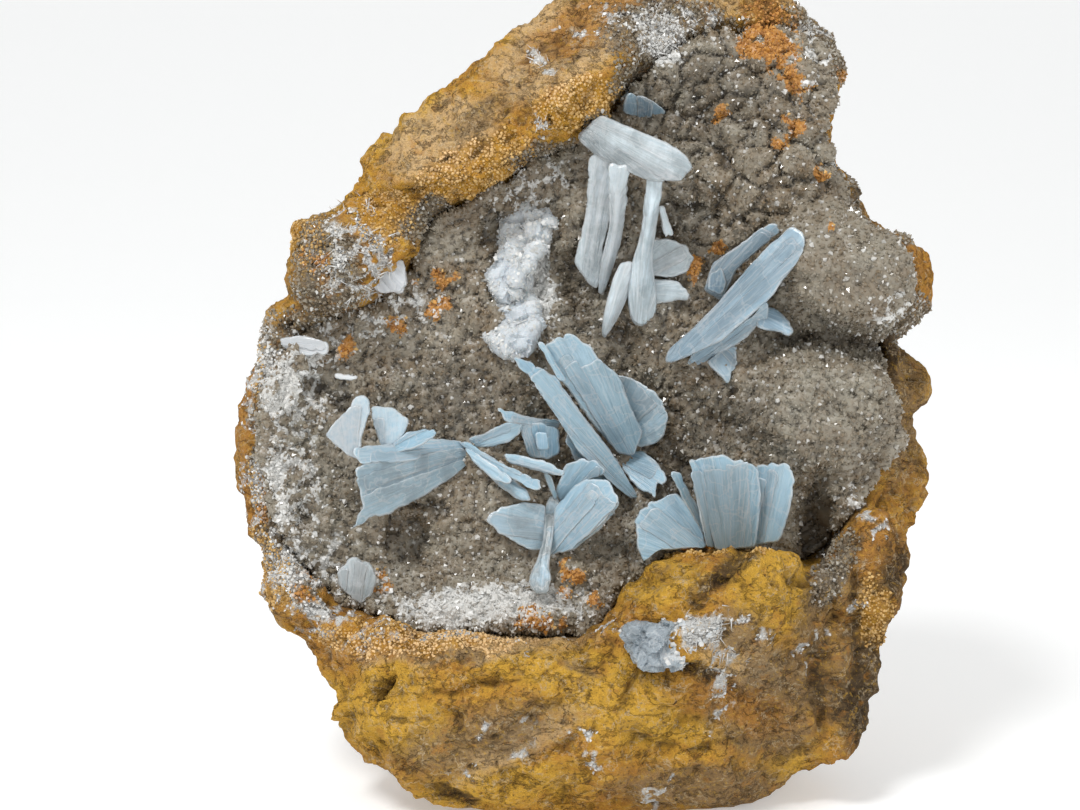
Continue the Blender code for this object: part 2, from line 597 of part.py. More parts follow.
def keep_main_body(mesh):
    """Drops the splinters that trimming parts from the main body."""
    mesh.faces.ensure_lookup_table()
    unseen = set(mesh.faces)
    bodies = []
    while unseen:
        body = set()
        edge_of_body = [unseen.pop()]
        while edge_of_body:
            face = edge_of_body.pop()
            body.add(face)
            for edge in face.edges:
                for neighbour in edge.link_faces:
                    if neighbour in unseen:
                        unseen.remove(neighbour)
                        edge_of_body.append(neighbour)
        bodies.append(body)
    bodies.sort(key=lambda body: sum(face.calc_area() for face in body))
    for splinter in bodies[:-1]:
        bmesh.ops.delete(mesh, geom=list(splinter), context="FACES")


def build_spray(name, shapes, ground):
    mesh = bmesh.new()
    base = ground_level(*shapes[0]["root"])
    for shape in shapes:
        add_blade(mesh, shape, base)
    spray = mesh_object(name, mesh)
    trim = spray.modifiers.new("trim the roots", "BOOLEAN")
    trim.operation = "DIFFERENCE"
    trim.solver = "EXACT"
    trim.use_self = True
    trim.object = ground
    depsgraph = bpy.context.evaluated_depsgraph_get()
    trimmed = bmesh.new()
    trimmed.from_object(spray, depsgraph)
    keep_main_body(trimmed)
    spray.modifiers.clear()
    trimmed.to_mesh(spray.data)
    trimmed.free()
    if name in CHALKY:
        give_material(spray, f"{name}_chalky_barite", BARITE_WHITE, 0.5)
    else:
        give_material(spray, f"{name}_blue_barite", BARITE_BLUE, 0.25)


def build():
    clear_scene()
    spokes = [Spoke(point) for point in RIM]
    build_matrix(spokes)
    build_crust(spokes)
    ground = build_ground(spokes)
    for name, shapes in SPRAYS.items():
        build_spray(name, shapes, ground)


build()
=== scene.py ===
# %% [markdown]
# # Barite on matrix
# The piece is a fist-sized chunk of ochre limonite. Its open front is a shallow hollow
# lined with a sparkling crust of quartz druse, and sprays of pale blue bladed barite
# stand on that crust. Solids of the rock, the crust and the sprays exist already. This
# script dresses them: it gives them fine relief, grains, small crystals and colour.
# First the solids are fetched.

# %% Fetch the solids
import itertools
import math

import bmesh
import bpy
import numpy as np
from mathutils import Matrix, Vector
from mathutils.bvhtree import BVHTree


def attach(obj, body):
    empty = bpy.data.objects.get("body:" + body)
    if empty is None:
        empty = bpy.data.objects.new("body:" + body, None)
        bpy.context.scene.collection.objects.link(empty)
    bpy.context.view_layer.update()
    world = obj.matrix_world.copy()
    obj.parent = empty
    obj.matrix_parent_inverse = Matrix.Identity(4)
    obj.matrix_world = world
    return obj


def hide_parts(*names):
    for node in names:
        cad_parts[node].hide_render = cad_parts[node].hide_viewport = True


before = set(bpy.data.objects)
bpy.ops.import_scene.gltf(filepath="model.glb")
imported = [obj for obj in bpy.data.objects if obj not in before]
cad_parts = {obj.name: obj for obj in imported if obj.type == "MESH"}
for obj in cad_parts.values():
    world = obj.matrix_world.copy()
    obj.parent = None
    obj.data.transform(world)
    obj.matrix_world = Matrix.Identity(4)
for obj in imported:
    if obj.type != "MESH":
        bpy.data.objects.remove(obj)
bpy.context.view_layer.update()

print("solids:", ", ".join(sorted(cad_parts)))

# %% [markdown]
# The open face leans back by ten degrees. A place on it is easiest to name the way it is
# seen: a to the right, b up the face and c out of it, in millimetres. A point that stands
# out is nearer to the eye and is drawn a little larger, so the two helpers below take
# that into account.

# %% Face places
MM = 0.001
LEAN = math.radians(10)
VIEW_DISTANCE = 350.0
FACE_MIDDLE = (-8.0, 0.5, 64.0)
MIDDLE = Vector(FACE_MIDDLE) * MM
EYE = MIDDLE + Vector((0, -math.cos(LEAN), math.sin(LEAN))) * VIEW_DISTANCE * MM
FINE = 1


def place(a, b, c):
    """The world place, in metres, of a point seen at (a, b) that stands c out."""
    drawn_in = 1 - max(c, 0.0) / VIEW_DISTANCE
    up = b * drawn_in
    depth = FACE_MIDDLE[1] + up * math.sin(LEAN) - c * math.cos(LEAN)
    height = FACE_MIDDLE[2] + up * math.cos(LEAN) + c * math.sin(LEAN)
    return Vector((a * drawn_in + FACE_MIDDLE[0], depth, height)) * MM


def seen_at(points):
    """a, b and c of an array of world places in metres."""
    x, y, z = (np.asarray(points, float) / MM - FACE_MIDDLE).T
    up = y * math.sin(LEAN) + z * math.cos(LEAN)
    out = z * math.sin(LEAN) - y * math.cos(LEAN)
    grown = 1 / (1 - np.maximum(out, 0) / VIEW_DISTANCE)
    return x * grown, up * grown, out


# %% [markdown]
# Rock and crystal get their relief from noise. Three kinds are enough: a smooth one for
# swells and grain, and two that part space into cells: rounded lumps with creases between
# them, and flat broken facets.

# %% Three kinds of noise
def cell_numbers(cells, shuffle):
    """A number of 0 to 255 for each whole cell, always the same for the same cell."""
    x, y, z = cells.T
    return shuffle[(shuffle[(shuffle[x & 255] + y) & 255] + z) & 255]


def directions(random):
    ways = random.normal(size=(256, 3))
    return ways / np.linalg.norm(ways, axis=1)[:, None]


def grain(points, size, seed=0):
    """Smooth noise of about -1 to 1 at points in mm. Its lumps are about size wide."""
    random = np.random.default_rng(seed)
    shuffle = random.permutation(256)
    slopes = directions(random)
    spot = points / size
    cell = np.floor(spot).astype(int)
    within = spot - cell
    fade = within**3 * (within * (within * 6 - 15) + 10)
    total = np.zeros(len(points))
    for corner in itertools.product((0, 1), repeat=3):
        value = (slopes[cell_numbers(cell + corner, shuffle)] * (within - corner)).sum(1)
        total += value * np.prod(np.where(corner, fade, 1 - fade), axis=1)
    return total * 1.7


def grains(points, layers):
    """Layers of smooth noise, each given by its height in mm, its size and its seed."""
    return sum(height * grain(points, size, seed) for height, size, seed in layers)


def cellular(points, size, seed):
    """How far the nearest and second cell middles are, and the height on the nearest cell's
    tilted facet, all in units of size."""
    random = np.random.default_rng(seed)
    shuffle = random.permutation(256)
    offsets = random.random((256, 3)) * 0.8 + 0.1
    tilts = directions(random)
    spot = points / size
    cell = np.floor(spot).astype(int)
    nearest = second = np.full(len(points), 9.0)
    height = np.zeros(len(points))
    for step in itertools.product((-1, 0, 1), repeat=3):
        numbers = cell_numbers(cell + step, shuffle)
        away = spot - (cell + step) - offsets[numbers]
        distance = np.linalg.norm(away, axis=1)
        height = np.where(distance < nearest, (away * tilts[numbers]).sum(1), height)
        second = np.minimum(second, np.maximum(nearest, distance))
        nearest = np.minimum(nearest, distance)
    return nearest, second, height


def cobbles(points, size, seed=0):
    """Rounded caps, 1 at their tops and 0 in the creases between them, about size apart."""
    nearest, second, _ = cellular(points, size, seed)
    crease = np.clip((second - nearest) / 0.5, 0, 1)
    return np.sqrt(crease * (2 - crease))


def chips(points, size, seed=0):
    """Broken faces: flat pieces about size wide, each tilted its own way, in units of size."""
    return cellular(points, size, seed)[2]


def warped(points, size, reach):
    """The points shifted about by smooth noise, so that a pattern on them isn't regular."""
    return points + reach * np.stack([grain(points, size, seed) for seed in (61, 62, 63)], axis=1)


def soft_step(low, high, value):
    share = np.clip((value - low) / (high - low), 0, 1)
    return share * share * (3 - 2 * share)


def patch(a, b, middle_a, middle_b, half_a, half_b, turn=0, soft=0.5):
    """1 inside an oval on the face and 0 outside it, with a soft edge."""
    angle = math.radians(turn)
    along = (a - middle_a) * math.cos(angle) + (b - middle_b) * math.sin(angle)
    across = (b - middle_b) * math.cos(angle) - (a - middle_a) * math.sin(angle)
    return 1 - soft_step(1 - soft, 1 + soft, np.hypot(along / half_a, across / half_b))


def patches(a, b, table):
    return np.max([patch(a, b, *oval) for oval in table], axis=0)


def rows(text):
    """Rows of numbers, from text such as "1,2 3,4"."""
    return [tuple(float(part) for part in row.split(",")) for row in text.split()]


def wavering(places):
    """a and b of places in metres, shifted about a little so that patches get ragged edges."""
    spots = places / MM
    bent = warped(spots, 4, 1.3) + 0.6 * (warped(spots, 1.3, 1.0) - spots)
    a, b, _ = seen_at(bent * MM)
    return a, b


# %% [markdown]
# The solids have large flat facets. A voxel remesh of a copy gives small even ones to
# work on, and joins shapes that overlap into one skin.

# %% Fine copies of the solids
def merged_copy(node):
    """A bmesh of a solid with its doubled corners merged."""
    mesh = bmesh.new()
    mesh.from_mesh(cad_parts[node].data)
    bmesh.ops.remove_doubles(mesh, verts=mesh.verts, dist=1e-6)
    return mesh


def linked(name, data):
    """A new object in the scene."""
    made = bpy.data.objects.new(name, data)
    bpy.context.scene.collection.objects.link(made)
    return made


def object_from(mesh, name):
    data = bpy.data.meshes.new(name)
    mesh.to_mesh(data)
    mesh.free()
    return linked(name, data)


def baked(made):
    """The object with its modifiers turned into plain mesh."""
    bpy.context.view_layer.update()
    depsgraph = bpy.context.evaluated_depsgraph_get()
    data = bpy.data.meshes.new_from_object(made.evaluated_get(depsgraph), depsgraph=depsgraph)
    made.modifiers.clear()
    made.data = data
    return made


def remeshed(made, voxel):
    even = made.modifiers.new("even facets", "REMESH")
    even.mode = "VOXEL"
    even.voxel_size = voxel * MM * FINE
    even.use_smooth_shade = True
    return baked(made)


def triples(owner, key):
    """One triple of numbers, such as a place, for each item of a mesh's list."""
    values = np.empty(len(owner) * 3, np.float32)
    owner.foreach_get(key, values)
    return values.reshape(-1, 3).astype(float)


def places_of(data):
    return triples(data.vertices, "co")


def normals_of(data):
    return triples(data.vertex_normals, "vector")


def move_to(data, places):
    data.vertices.foreach_set("co", places.astype(np.float32).ravel())
    data.update()


def smoothed(data, values, rounds):
    """Values averaged with their neighbours' along the edges."""
    ends = np.empty(len(data.edges) * 2, np.int32)
    data.edges.foreach_get("vertices", ends)
    first, last = ends.reshape(-1, 2).T
    count = np.bincount(ends, minlength=len(data.vertices)).astype(float)
    columns = values.reshape(len(data.vertices), -1).copy()
    for _ in range(rounds):
        for column in columns.T:
            total = np.bincount(first, column[last], len(column))
            total += np.bincount(last, column[first], len(column))
            column += 0.5 * (total / count - column)
    return columns.reshape(values.shape)


def fine_skin(node, name, facet, rounds):
    """A finely remeshed and slightly smoothed copy of a solid, with its corners' places."""
    made = remeshed(object_from(merged_copy(node), name), facet)
    places = smoothed(made.data, places_of(made.data), rounds)
    move_to(made.data, places)
    return made, places


def paint(data, name, values):
    """Stores one number for each corner point, for the materials to read."""
    layer = data.attributes.get(name) or data.attributes.new(name, "FLOAT", "POINT")
    layer.data.foreach_set("value", np.clip(values, 0, 1).astype(np.float32))


def finish_piece(made, slot, *nodes):
    """Hands a finished piece over, and says how large it is."""
    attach(made, "root")
    if nodes:
        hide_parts(*nodes)
    made.data.calc_loop_triangles()
    print(f"{made.name}: {len(made.data.loop_triangles)} triangles")


def wear(made, material):
    """Puts one material on all of an object."""
    made.data.materials.clear()
    made.data.materials.append(material)


# %% [markdown]
# Materials are sums of noise and painted masks. A small wrapper lets a node's output be
# added and multiplied like a number, so that each recipe reads like a formula.

# %% Formulas for materials
def feed(tree, socket, value):
    """Links a socket to a number's or a node's output, or sets it to a plain value."""
    if isinstance(value, Number):
        value = value.socket
    if isinstance(value, bpy.types.NodeSocket):
        tree.links.new(value, socket)
    elif isinstance(value, tuple) and len(value) == 3 and socket.type == "RGBA":
        socket.default_value = (*value, 1)
    else:
        socket.default_value = value


def add_node(tree, kind, settings=None, inputs=None):
    made = tree.nodes.new(kind)
    for key, value in (settings or {}).items():
        setattr(made, key, value)
    for key, value in (inputs or {}).items():
        feed(tree, made.inputs[key], value)
    return made


class Number:
    """A number in a material, ready for arithmetic."""

    def __init__(self, recipe, socket):
        self.recipe = recipe
        self.socket = socket

    def worked(self, operation, *others, clamp=False):
        settings = {"operation": operation, "use_clamp": clamp}
        made = self.recipe.node("ShaderNodeMath", settings, dict(enumerate(others)))
        return Number(self.recipe, made.outputs[0])

    def __add__(self, other):
        return self.worked("ADD", self, other)

    def __sub__(self, other):
        return self.worked("SUBTRACT", self, other)

    def __rsub__(self, other):
        return self.worked("SUBTRACT", other, self)

    def __mul__(self, other):
        return self.worked("MULTIPLY", self, other)

    def __truediv__(self, other):
        return self.worked("DIVIDE", self, other)

    def __rtruediv__(self, other):
        return self.worked("DIVIDE", other, self)

    def __abs__(self):
        return self.worked("ABSOLUTE", self)

    __radd__, __rmul__ = __add__, __mul__

    def held(self):
        """The number kept within 0 and 1."""
        return self.worked("ADD", self, 0.0, clamp=True)

    def ramp(self, low, high):
        """0 below low, 1 above high and straight between."""
        return self.worked("MULTIPLY", self - low, 1 / (high - low), clamp=True)


class Recipe:
    """One material's nodes."""

    def __init__(self, name):
        self.material = bpy.data.materials.new(name)
        self.material.use_nodes = True
        self.tree = self.material.node_tree
        self.shader = self.tree.nodes["Principled BSDF"]

    def node(self, kind, settings=None, inputs=None):
        return add_node(self.tree, kind, settings, inputs)

    def mask(self, name):
        made = self.node("ShaderNodeAttribute", {"attribute_name": name})
        return Number(self, made.outputs["Fac"])

    def noise(self, size, detail=4.0, rough=0.6, stretch=(1, 1, 1)):
        """Noise of 0 to 1 whose lumps are size millimetres wide."""
        spot = self.node("ShaderNodeTexCoord").outputs["Object"]
        scaled = self.node(
            "ShaderNodeVectorMath", {"operation": "MULTIPLY"}, {0: spot, 1: stretch}
        )
        made = self.node("ShaderNodeTexNoise", {}, {
            "Vector": scaled.outputs[0], "Scale": 1 / (size * MM), "Detail": detail,
            "Roughness": rough,
        })
        return Number(self, made.outputs["Fac"])

    def speckle(self, size):
        """A random number for each small cell, size millimetres wide."""
        spot = self.node("ShaderNodeTexCoord").outputs["Object"]
        made = self.node("ShaderNodeTexVoronoi", {}, {"Vector": spot, "Scale": 1 / (size * MM)})
        split = self.node("ShaderNodeSeparateColor", {}, {"Color": made.outputs["Color"]})
        return Number(self, split.outputs[0])

    def mix(self, share, first, second):
        made = self.node("ShaderNodeMix", {"data_type": "RGBA"}, {0: share, 6: first, 7: second})
        return made.outputs[2]

    def layered(self, colour, *layers):
        """A colour with others laid over it, each given by its share and its tone."""
        for share, tone in layers:
            colour = self.mix(share, colour, tone)
        return colour

    def thread(self, size, middle, thin, **looks):
        """1 along fine wandering lines, where noise passes middle, and 0 beside them."""
        return (1 - abs(self.noise(size, **looks) - middle) * thin).held()

    def bump(self, height, distance, strength=1.0):
        made = self.node("ShaderNodeBump", {}, {
            "Height": height, "Distance": distance * MM, "Strength": strength,
        })
        feed(self.tree, self.shader.inputs["Normal"], made.outputs[0])

    def finish(self, **inputs):
        for key, value in inputs.items():
            feed(self.tree, self.shader.inputs[key.replace("_", " ")], value)
        return self.material


# %% [markdown]
# The limonite is rusty iron ore. It runs from bright yellow ochre to dark brown, with
# white stains where barite has filled its cracks, and its broken faces are rough. Its creases,
# deep pits and the rock close under the crust are darkened with painted shade.

# %% Limonite material
OCHRE = (0.67, 0.345, 0.050)
YELLOW_OCHRE = (0.84, 0.49, 0.065)
RUST = (0.55, 0.25, 0.050)
TAN = (0.82, 0.57, 0.30)
BROWN = (0.32, 0.215, 0.110)
DARK_BROWN = (0.075, 0.050, 0.028)
GREY_BROWN = (0.25, 0.205, 0.150)
# Near black, painted as shade in the deepest creases and pits of rock and crust.
PIT_SHADE = (0.030, 0.024, 0.017)
CRUMB_ORANGE = (0.46, 0.215, 0.050)
PALE_TAN = (0.78, 0.62, 0.40)
CHALK = (0.76, 0.76, 0.74)


def limonite_material():
    rock = Recipe("limonite")
    broad = rock.noise(9, 5)
    fine = rock.noise(1.2, 5, 0.7)
    grit = rock.noise(0.35, 4, 0.7)
    streak = rock.noise(2.6, 5, 0.65, (1, 1, 2.2))
    mottle = rock.noise(3.4, 6, 0.7, (1.0, 1.0, 1.3))
    grains, pits = rock.noise(0.7, 3, 0.6), rock.noise(1.0, 4, 0.7)
    cracks = rock.thread(7, 0.5, 45, detail=5, rough=0.65, stretch=(1, 1, 1.6))
    veins = rock.thread(5, 0.45, 60, detail=5, rough=0.6)
    # Painted shade: this mask darkens creases, deep pits and the rock close under the crust to dark
    # brown, and the deepest places to near black.
    painted_shade = rock.mask("painted_shade")
    colour = rock.layered(
        OCHRE, (broad.ramp(0.36, 0.64), RUST), (streak.ramp(0.45, 0.72) * 0.8, YELLOW_OCHRE),
        (rock.mask("back") * rock.noise(20, 4).ramp(0.46, 0.58) * 0.75, BROWN),
    )
    ragged = (broad - 0.5) * 1.2 + (mottle - 0.5) * 0.9 + (fine - 0.5) * 0.9
    # The dark mask is partly painted shade on the slot and pits, partly darker rock.
    for name, strength, tone in (
        ("bright", 0.8, YELLOW_OCHRE), ("tan", 0.85, TAN), ("brown", 0.85, BROWN),
        ("rusty", 0.8, RUST), ("dark", 0.9, DARK_BROWN), ("crumbly", 0.7, OCHRE),
        ("grey", 1.0, GREY_BROWN),
    ):
        share = (rock.mask(name) + ragged).ramp(0.3, 0.95)
        colour = rock.mix(share * strength, colour, tone)
    orange = (rock.mask("orange") + (fine - 0.5) * 1.6).ramp(0.4, 0.7)
    white = (rock.mask("white") * 1.2 + (fine - 0.5) * 1.6 + (grit - 0.5) * 1.0).ramp(0.30, 0.85)
    cracked = mottle.ramp(0.42, 0.58)
    colour = rock.layered(
        colour, (mottle.ramp(0.55, 0.64) * 0.6, RUST), (mottle.ramp(0.45, 0.34) * 0.6, BROWN),
        (fine.ramp(0.40, 0.30) * 0.4, DARK_BROWN),
        ((streak * 0.5 + fine * 0.5).ramp(0.55, 0.66) * 0.6, PALE_TAN),
        (orange, CRUMB_ORANGE), (white, CHALK), (painted_shade * 0.75, DARK_BROWN),
        (painted_shade.ramp(0.85, 1.0) * 0.8, PIT_SHADE), (grains.ramp(0.56, 0.66) * 0.4, YELLOW_OCHRE),
        (grains.ramp(0.42, 0.34) * 0.55, DARK_BROWN), (pits.ramp(0.38, 0.31) * 0.7, DARK_BROWN),
        (cracks * cracked * 0.6, DARK_BROWN), (veins * (1 - cracked) * 0.7, PALE_TAN),
        (grit.ramp(0.3, 0.7) * 0.15, DARK_BROWN),
    )
    rock.bump(fine + grit * 0.6 + grains * 0.6 - cracks * 0.6, 0.9)
    return rock.finish(Base_Color=colour, Roughness=0.85, Specular_IOR_Level=0.15)


# %% [markdown]
# Where colour and some painted shade lie on the rock is given by ovals on the face, each as
# the place of its middle, its half width and half height, its turn and how soft its edge is.

# %% Where the rock's colours lie
ROCK_PATCHES = {
    "bright": rows("""
        38,-30,8,10,0,.4 20,-29,8,4,10,.4 3,-43,14,4,0,.5 -27,-46,10,5,0,.6 16,-50,18,7,-15,.6
        -6,-63,16,4,5,.5 52,-26,4,5,0,.5 -24,-52,14,6,-20,.6 44,-60,8,4,0,.5 -22,46,10,2,36,.5
        -34,34,6,2,40,.5
    """),
    "tan": rows("""
        4,60,16,8,36,.4 -16,44,12,6,30,.4 30,69,16,5,0,.5 -14,-39.5,22,3,3,.5 32,-42,8,6,-30,.6
        -4,-56,12,3,30,.7
    """),
    "brown": rows("""
        4,58,6,2.5,20,.8 -10,48,7,1.8,30,.8 41,-46,10,7,0,.6 54,-46,9,12,0,.5 -10,-55,16,5,20,.7
        -20,-41,12,1.4,-4,.6 -42,6,5,10,0,.5 28,-63,16,4,0,.6 -36,22,6,8,0,.6 34,-38,6,5,-20,.7
        -46,-30,5,8,0,.7 6,-43,5,1.6,-20,.6 36,-52,11,7,-20,.5 46,-36,4,8,0,.6 -50,0,2,20,0,.8
        60,0,6,13,0,.6 54,-32,8,12,0,.8
    """),
    "rusty": rows("""
        8,64,12,4,35,.6 62,21,5,7,0,.4 -49,-8,4,22,0,.5 -26,-38,14,4,3,.6 54,-24,6,6,0,.5
        57,-36,4,6,0,.5 30,-49,12,4,-20,.7 50,-60,8,4,20,.7 -36,-40,8,4,-30,.7
    """),
    # The dark ovals that lie on the pressed-in slot and pits are painted shade; the others are
    # darker rock.
    "dark": rows("""
        30,-28,10,1.6,40,.8 59,-28,3,6,0,.8 53,-50,5,9,0,.8 48.5,-27,2.6,7,-25,.5
        -42,13,1.2,1.6,0,.4 26,-44,5,1.4,-12,.5 -14,-64,5,1.4,-20,.5 56,-42,6,11,0,.8
        -34,14,3,1.6,20,.5 -36,20,2,4,20,.9 46,-44,2,6,0,.9 58,9.5,5,2.4,0,.6 60,18,3,1,0,.6
    """),
    "grey": rows("""
        22,61,12,7,0,.35 46,60,8,8,0,.5 -35,22,6,9,0,.5 -19,30.5,5,3.6,30,.4 1.5,41,7,2.6,15,.4
        10.5,46,3,2.6,30,.4 -44,-6,3.8,22,0,.3 -40.5,-27,3.6,6,30,.4 48.5,-27,3,7,-25,.5
        15,53,4,4,0,.5 -39,13,5,3,0,.7 53,34,3,6,0,.7 61,14,4.5,4.5,0,.5 57,30,6,3,-20,.5
    """),
    "crumbly": rows("""
        -11,39,10.5,4.4,20,.4 -4.5,42,4.5,2.6,40,.4 7,49.5,7.5,4.4,12,.4 -25.5,31,5,5,0,.5
        -18,-38,19,3.2,2,.6 20,-22.5,5,2.4,0,.5 37.7,63,4.5,4.5,0,.7 -46,-10,1.6,20,0,.8
        55,-34,3,6,0,.7 30,-23,8,1.2,0,.6 -44,-28,3,6,20,.8 -38,26,3,5,20,.9
    """),
    "fibrous": rows("""
        20.5,59,6,6,0,.5 0,56.5,3.4,1.2,-40,.5 -1.6,47.9,3.4,1.2,-45,.5 -31,24,6,9,0,.5
        28,-38,4,4,0,.5 -43,-2,4,8,0,.5 44,60,6,5,0,.5
    """),
}
WHITE_ON_ROCK = rows("""
    20.5,60,4,4,0,.6 45.2,62,3.4,2.4,0,.6 44,53.5,1.4,3,0,.6 -30.5,25,6,8,0,.5
    -8,-36.5,18,2.2,3,.7 -10.2,-53,2.6,1.2,40,.5 -1.6,-52.5,1.2,.9,0,.6 6.6,-54.4,2.6,1.2,-10,.7
    9.7,-58.8,2.2,.9,-10,.5 22.7,-61.5,2.0,1.1,30,.5 18.5,-64.8,2.0,1.1,30,.5
    -2,-41.7,.6,2.0,-10,.6 29,-43.8,.7,5.2,10,.6 29,-51.2,.7,2.8,-30,.6 0,56.5,3,.9,-40,.5
    -1.6,47.9,3,.8,-45,.5 44.2,-44.4,.9,.9,0,.5 33,-36,2,1.2,10,.7 43,-41,2,1.4,0,.7
    37,-39,1.6,2,-30,.8 -43,3,7,10,0,.7 -43,-14,7,9,0,.7 -41,-27,7,6,0,.7 -36,-34,8,4,-40,.7
    -42,-31,2,2,0,.8 -12,-61,2.4,1.2,0,.7 53,-17,3,1.4,-40,.7 56,-21,2,1.2,0,.7 46,-38,1.6,1,0,.6
    -3.5,-58,3.4,.8,35,.6 27,-37,4,3,15,.5 9,-36.5,5,1.2,0,.7 31,-41,2,4,20,.7 16,63,8,1.4,-20,.8
    7,61.5,5,.7,-5,.8 52,-33,2,1,0,.7 30,-47,1.6,6,8,.8 24,64,6,3,0,.8 -16,-35,12,2,3,.7
""")
SOLID_ON_ROCK = rows("""
    27,-37,3.5,2.6,15,.5 20,60.5,3.2,3.2,0,.7 -45,4,1.6,5,0,.9 -46,-12,1.4,5,0,.9
    -42,-27,2.4,3,30,.9 -37,-34,3,1.4,-40,.9
""")
RED_ON_ROCK = rows("""
    37.7,64,4.5,5,0,.8 46,56,1.6,3,30,.7 50.2,55,1.2,1.2,0,.6 51,-35,2,2.5,0,.9 -45,2,2,3,0,.9
    -45,-16,2,4,0,.9 -38,-31,2.5,2.5,-20,.9 -37,24,1.6,1.6,0,.8 -29,15,3,1.6,0,.8
""")


def network(spots, size, seed):
    """1 along wandering threads and 0 between them."""
    threads = 1 - np.abs(grain(spots, size, seed)) * 3.5
    return soft_step(-0.2, 0.8, threads + 0.7 * grain(spots, size / 3, seed + 1))


def speckled(spots):
    """1 in blots a few millimetres wide and 0 between them."""
    return soft_step(-0.5, 0.0, grain(spots, 2.2, 74))


def colour_rock(data, shade_amounts):
    places = places_of(data)
    spots = places / MM
    a, b = wavering(places)
    _, _, out = seen_at(places)
    front = soft_step(-14, -4, out + 9 * grain(spots, 9, 75))
    for name, table in ROCK_PATCHES.items():
        paint(data, name, patches(a, b, table) * front)
    paint(data, "orange", patches(a, b, RED_ON_ROCK) * speckled(spots))
    paint(data, "back", 1 - front)
    threads = np.maximum(network(spots, 3.2, 71), patches(a, b, SOLID_ON_ROCK))
    paint(data, "white", patches(a, b, WHITE_ON_ROCK) * threads * front)
    # Painted shade in creases, deep pits and under the crust.
    paint(data, "painted_shade", shade_amounts)


# %% [markdown]
# The rock's relief is built up from coarse to fine: swells, broken facets, then grain.
# A slot and a few pits are pressed in, each as deep as its last number says. Under the
# crust the surface is left as it is, so that no rock pokes through.

# %% Limonite
PITS = rows("""
    -26.3,-46.8,.8,2.6,-30,4.5 -42.2,13.2,1.0,1.3,0,2.0 26,-43.6,4.5,1.0,-12,1.6
    -12,-47,7,.8,12,.9 14,-48,.8,6,-25,1.0 2,-57,9,1.0,25,1.0 30,-56,6,1.0,20,1.0
    -24,-57,5,.8,-40,.8 -14,-64,5,1.2,-20,1.4 30,-28,9,1.4,40,1.2 52,-34,1.2,4,0,1.4
    58,-40,1.5,2.5,-30,1.6 -9,46,9,.8,36,1.0 2,60,6,.9,30,1.0 46,-48,1.2,7,10,1.4
    7,-41,1.0,3.5,30,.9 20,-56,7,.9,-15,.9
""")
ROCK_FACET = 0.74
ROCK_GRAINS = (0.5, 3.0, 4), (0.4, 1.7, 6), (0.2, 0.9, 7)
FLUTED_LIP = (34, -30, 13, 10)
crust_tree = BVHTree.FromBMesh(merged_copy("quartz_druse"))


def under_crust(places):
    """1 where the crust covers the rock closely, fading to 0 a little way off it."""
    distances = np.array([crust_tree.find_nearest(Vector(spot))[3] for spot in places])
    return 1 - soft_step(0.8 * MM, 3.5 * MM, distances)


def sinking(data, places, normals, rounds):
    """How far each point lies below the surface's broad shape, in mm."""
    return ((smoothed(data, places, rounds) - places) * normals).sum(1) / MM


def build_limonite():
    rock, places = fine_skin("limonite_matrix", "limonite_rock", ROCK_FACET, 2)
    data, normals = rock.data, normals_of(rock.data)
    covered = under_crust(places)
    spots = places / MM
    a, b, out = seen_at(places)
    bent = warped(spots, 4, 1.2)
    height = 0.9 * grain(spots, 10, 1) + 2.0 * chips(bent, 10, 2) + 1.1 * chips(bent, 4.6, 3)
    height = smoothed(data, height, 2)
    height += grains(spots, ROCK_GRAINS)
    flutes = grain(np.stack((a, b * 0.25, out * 0.5), axis=1), 3.0, 9)
    height += 0.9 * flutes * patch(a, b, *FLUTED_LIP)
    height -= 0.5 * soft_step(0.7, 1.0, 1 - np.abs(grain(bent, 9, 8)) * 4)
    crumbly = patches(a, b, ROCK_PATCHES["crumbly"] + ROCK_PATCHES["grey"])
    height += crumbly * (0.8 * (cobbles(warped(spots, 2, 0.6), 2.2, 5) - 0.5) + 0.2)
    pits = np.max([patch(a, b, *pit[:5]) * pit[5] for pit in PITS], axis=0) * (out > -10)
    height -= pits
    height *= soft_step(0, 2.5, spots[:, 2])
    places += normals * height[:, None] * MM * (1 - covered)[:, None]
    places[:, 2] = np.maximum(places[:, 2], 0)
    move_to(data, places)
    # Painted shade: darker where the rock sinks below its broad shape, in the deeper pits and close
    # under the crust.
    sunk = sinking(data, places, normals, 12)
    shade_amounts = 0.8 * soft_step(0.15, 0.7, sunk) + soft_step(1.2, 2.4, pits)
    colour_rock(data, shade_amounts + covered * 0.6)
    wear(rock, limonite_material())
    finish_piece(rock, "limonite", "limonite_matrix")
    return rock


rock = build_limonite()

# %% [markdown]
# The druse is a skin of tiny quartz crystals over rounded lumps. Its ground is grey and
# brown, darkened with painted shade in its creases, pits and shadowed places, and stained with
# white and rust in places. The crystals that stand on it get the same tones and the same
# painted shade, so both start from the same formula.

# %% Druse material
DRUSE_GREY = (0.285, 0.25, 0.19)
DRUSE_LILAC = (0.285, 0.275, 0.235)
DRUSE_BROWN = (0.18, 0.128, 0.074)


def druse_ground_colour(crust):
    return crust.mix(crust.noise(5, 4).ramp(0.35, 0.65), DRUSE_GREY, DRUSE_BROWN)


def rust_stain(crust, fine):
    return (crust.mask("orange") + (fine - 0.5) * 1.4).ramp(0.42, 0.62)


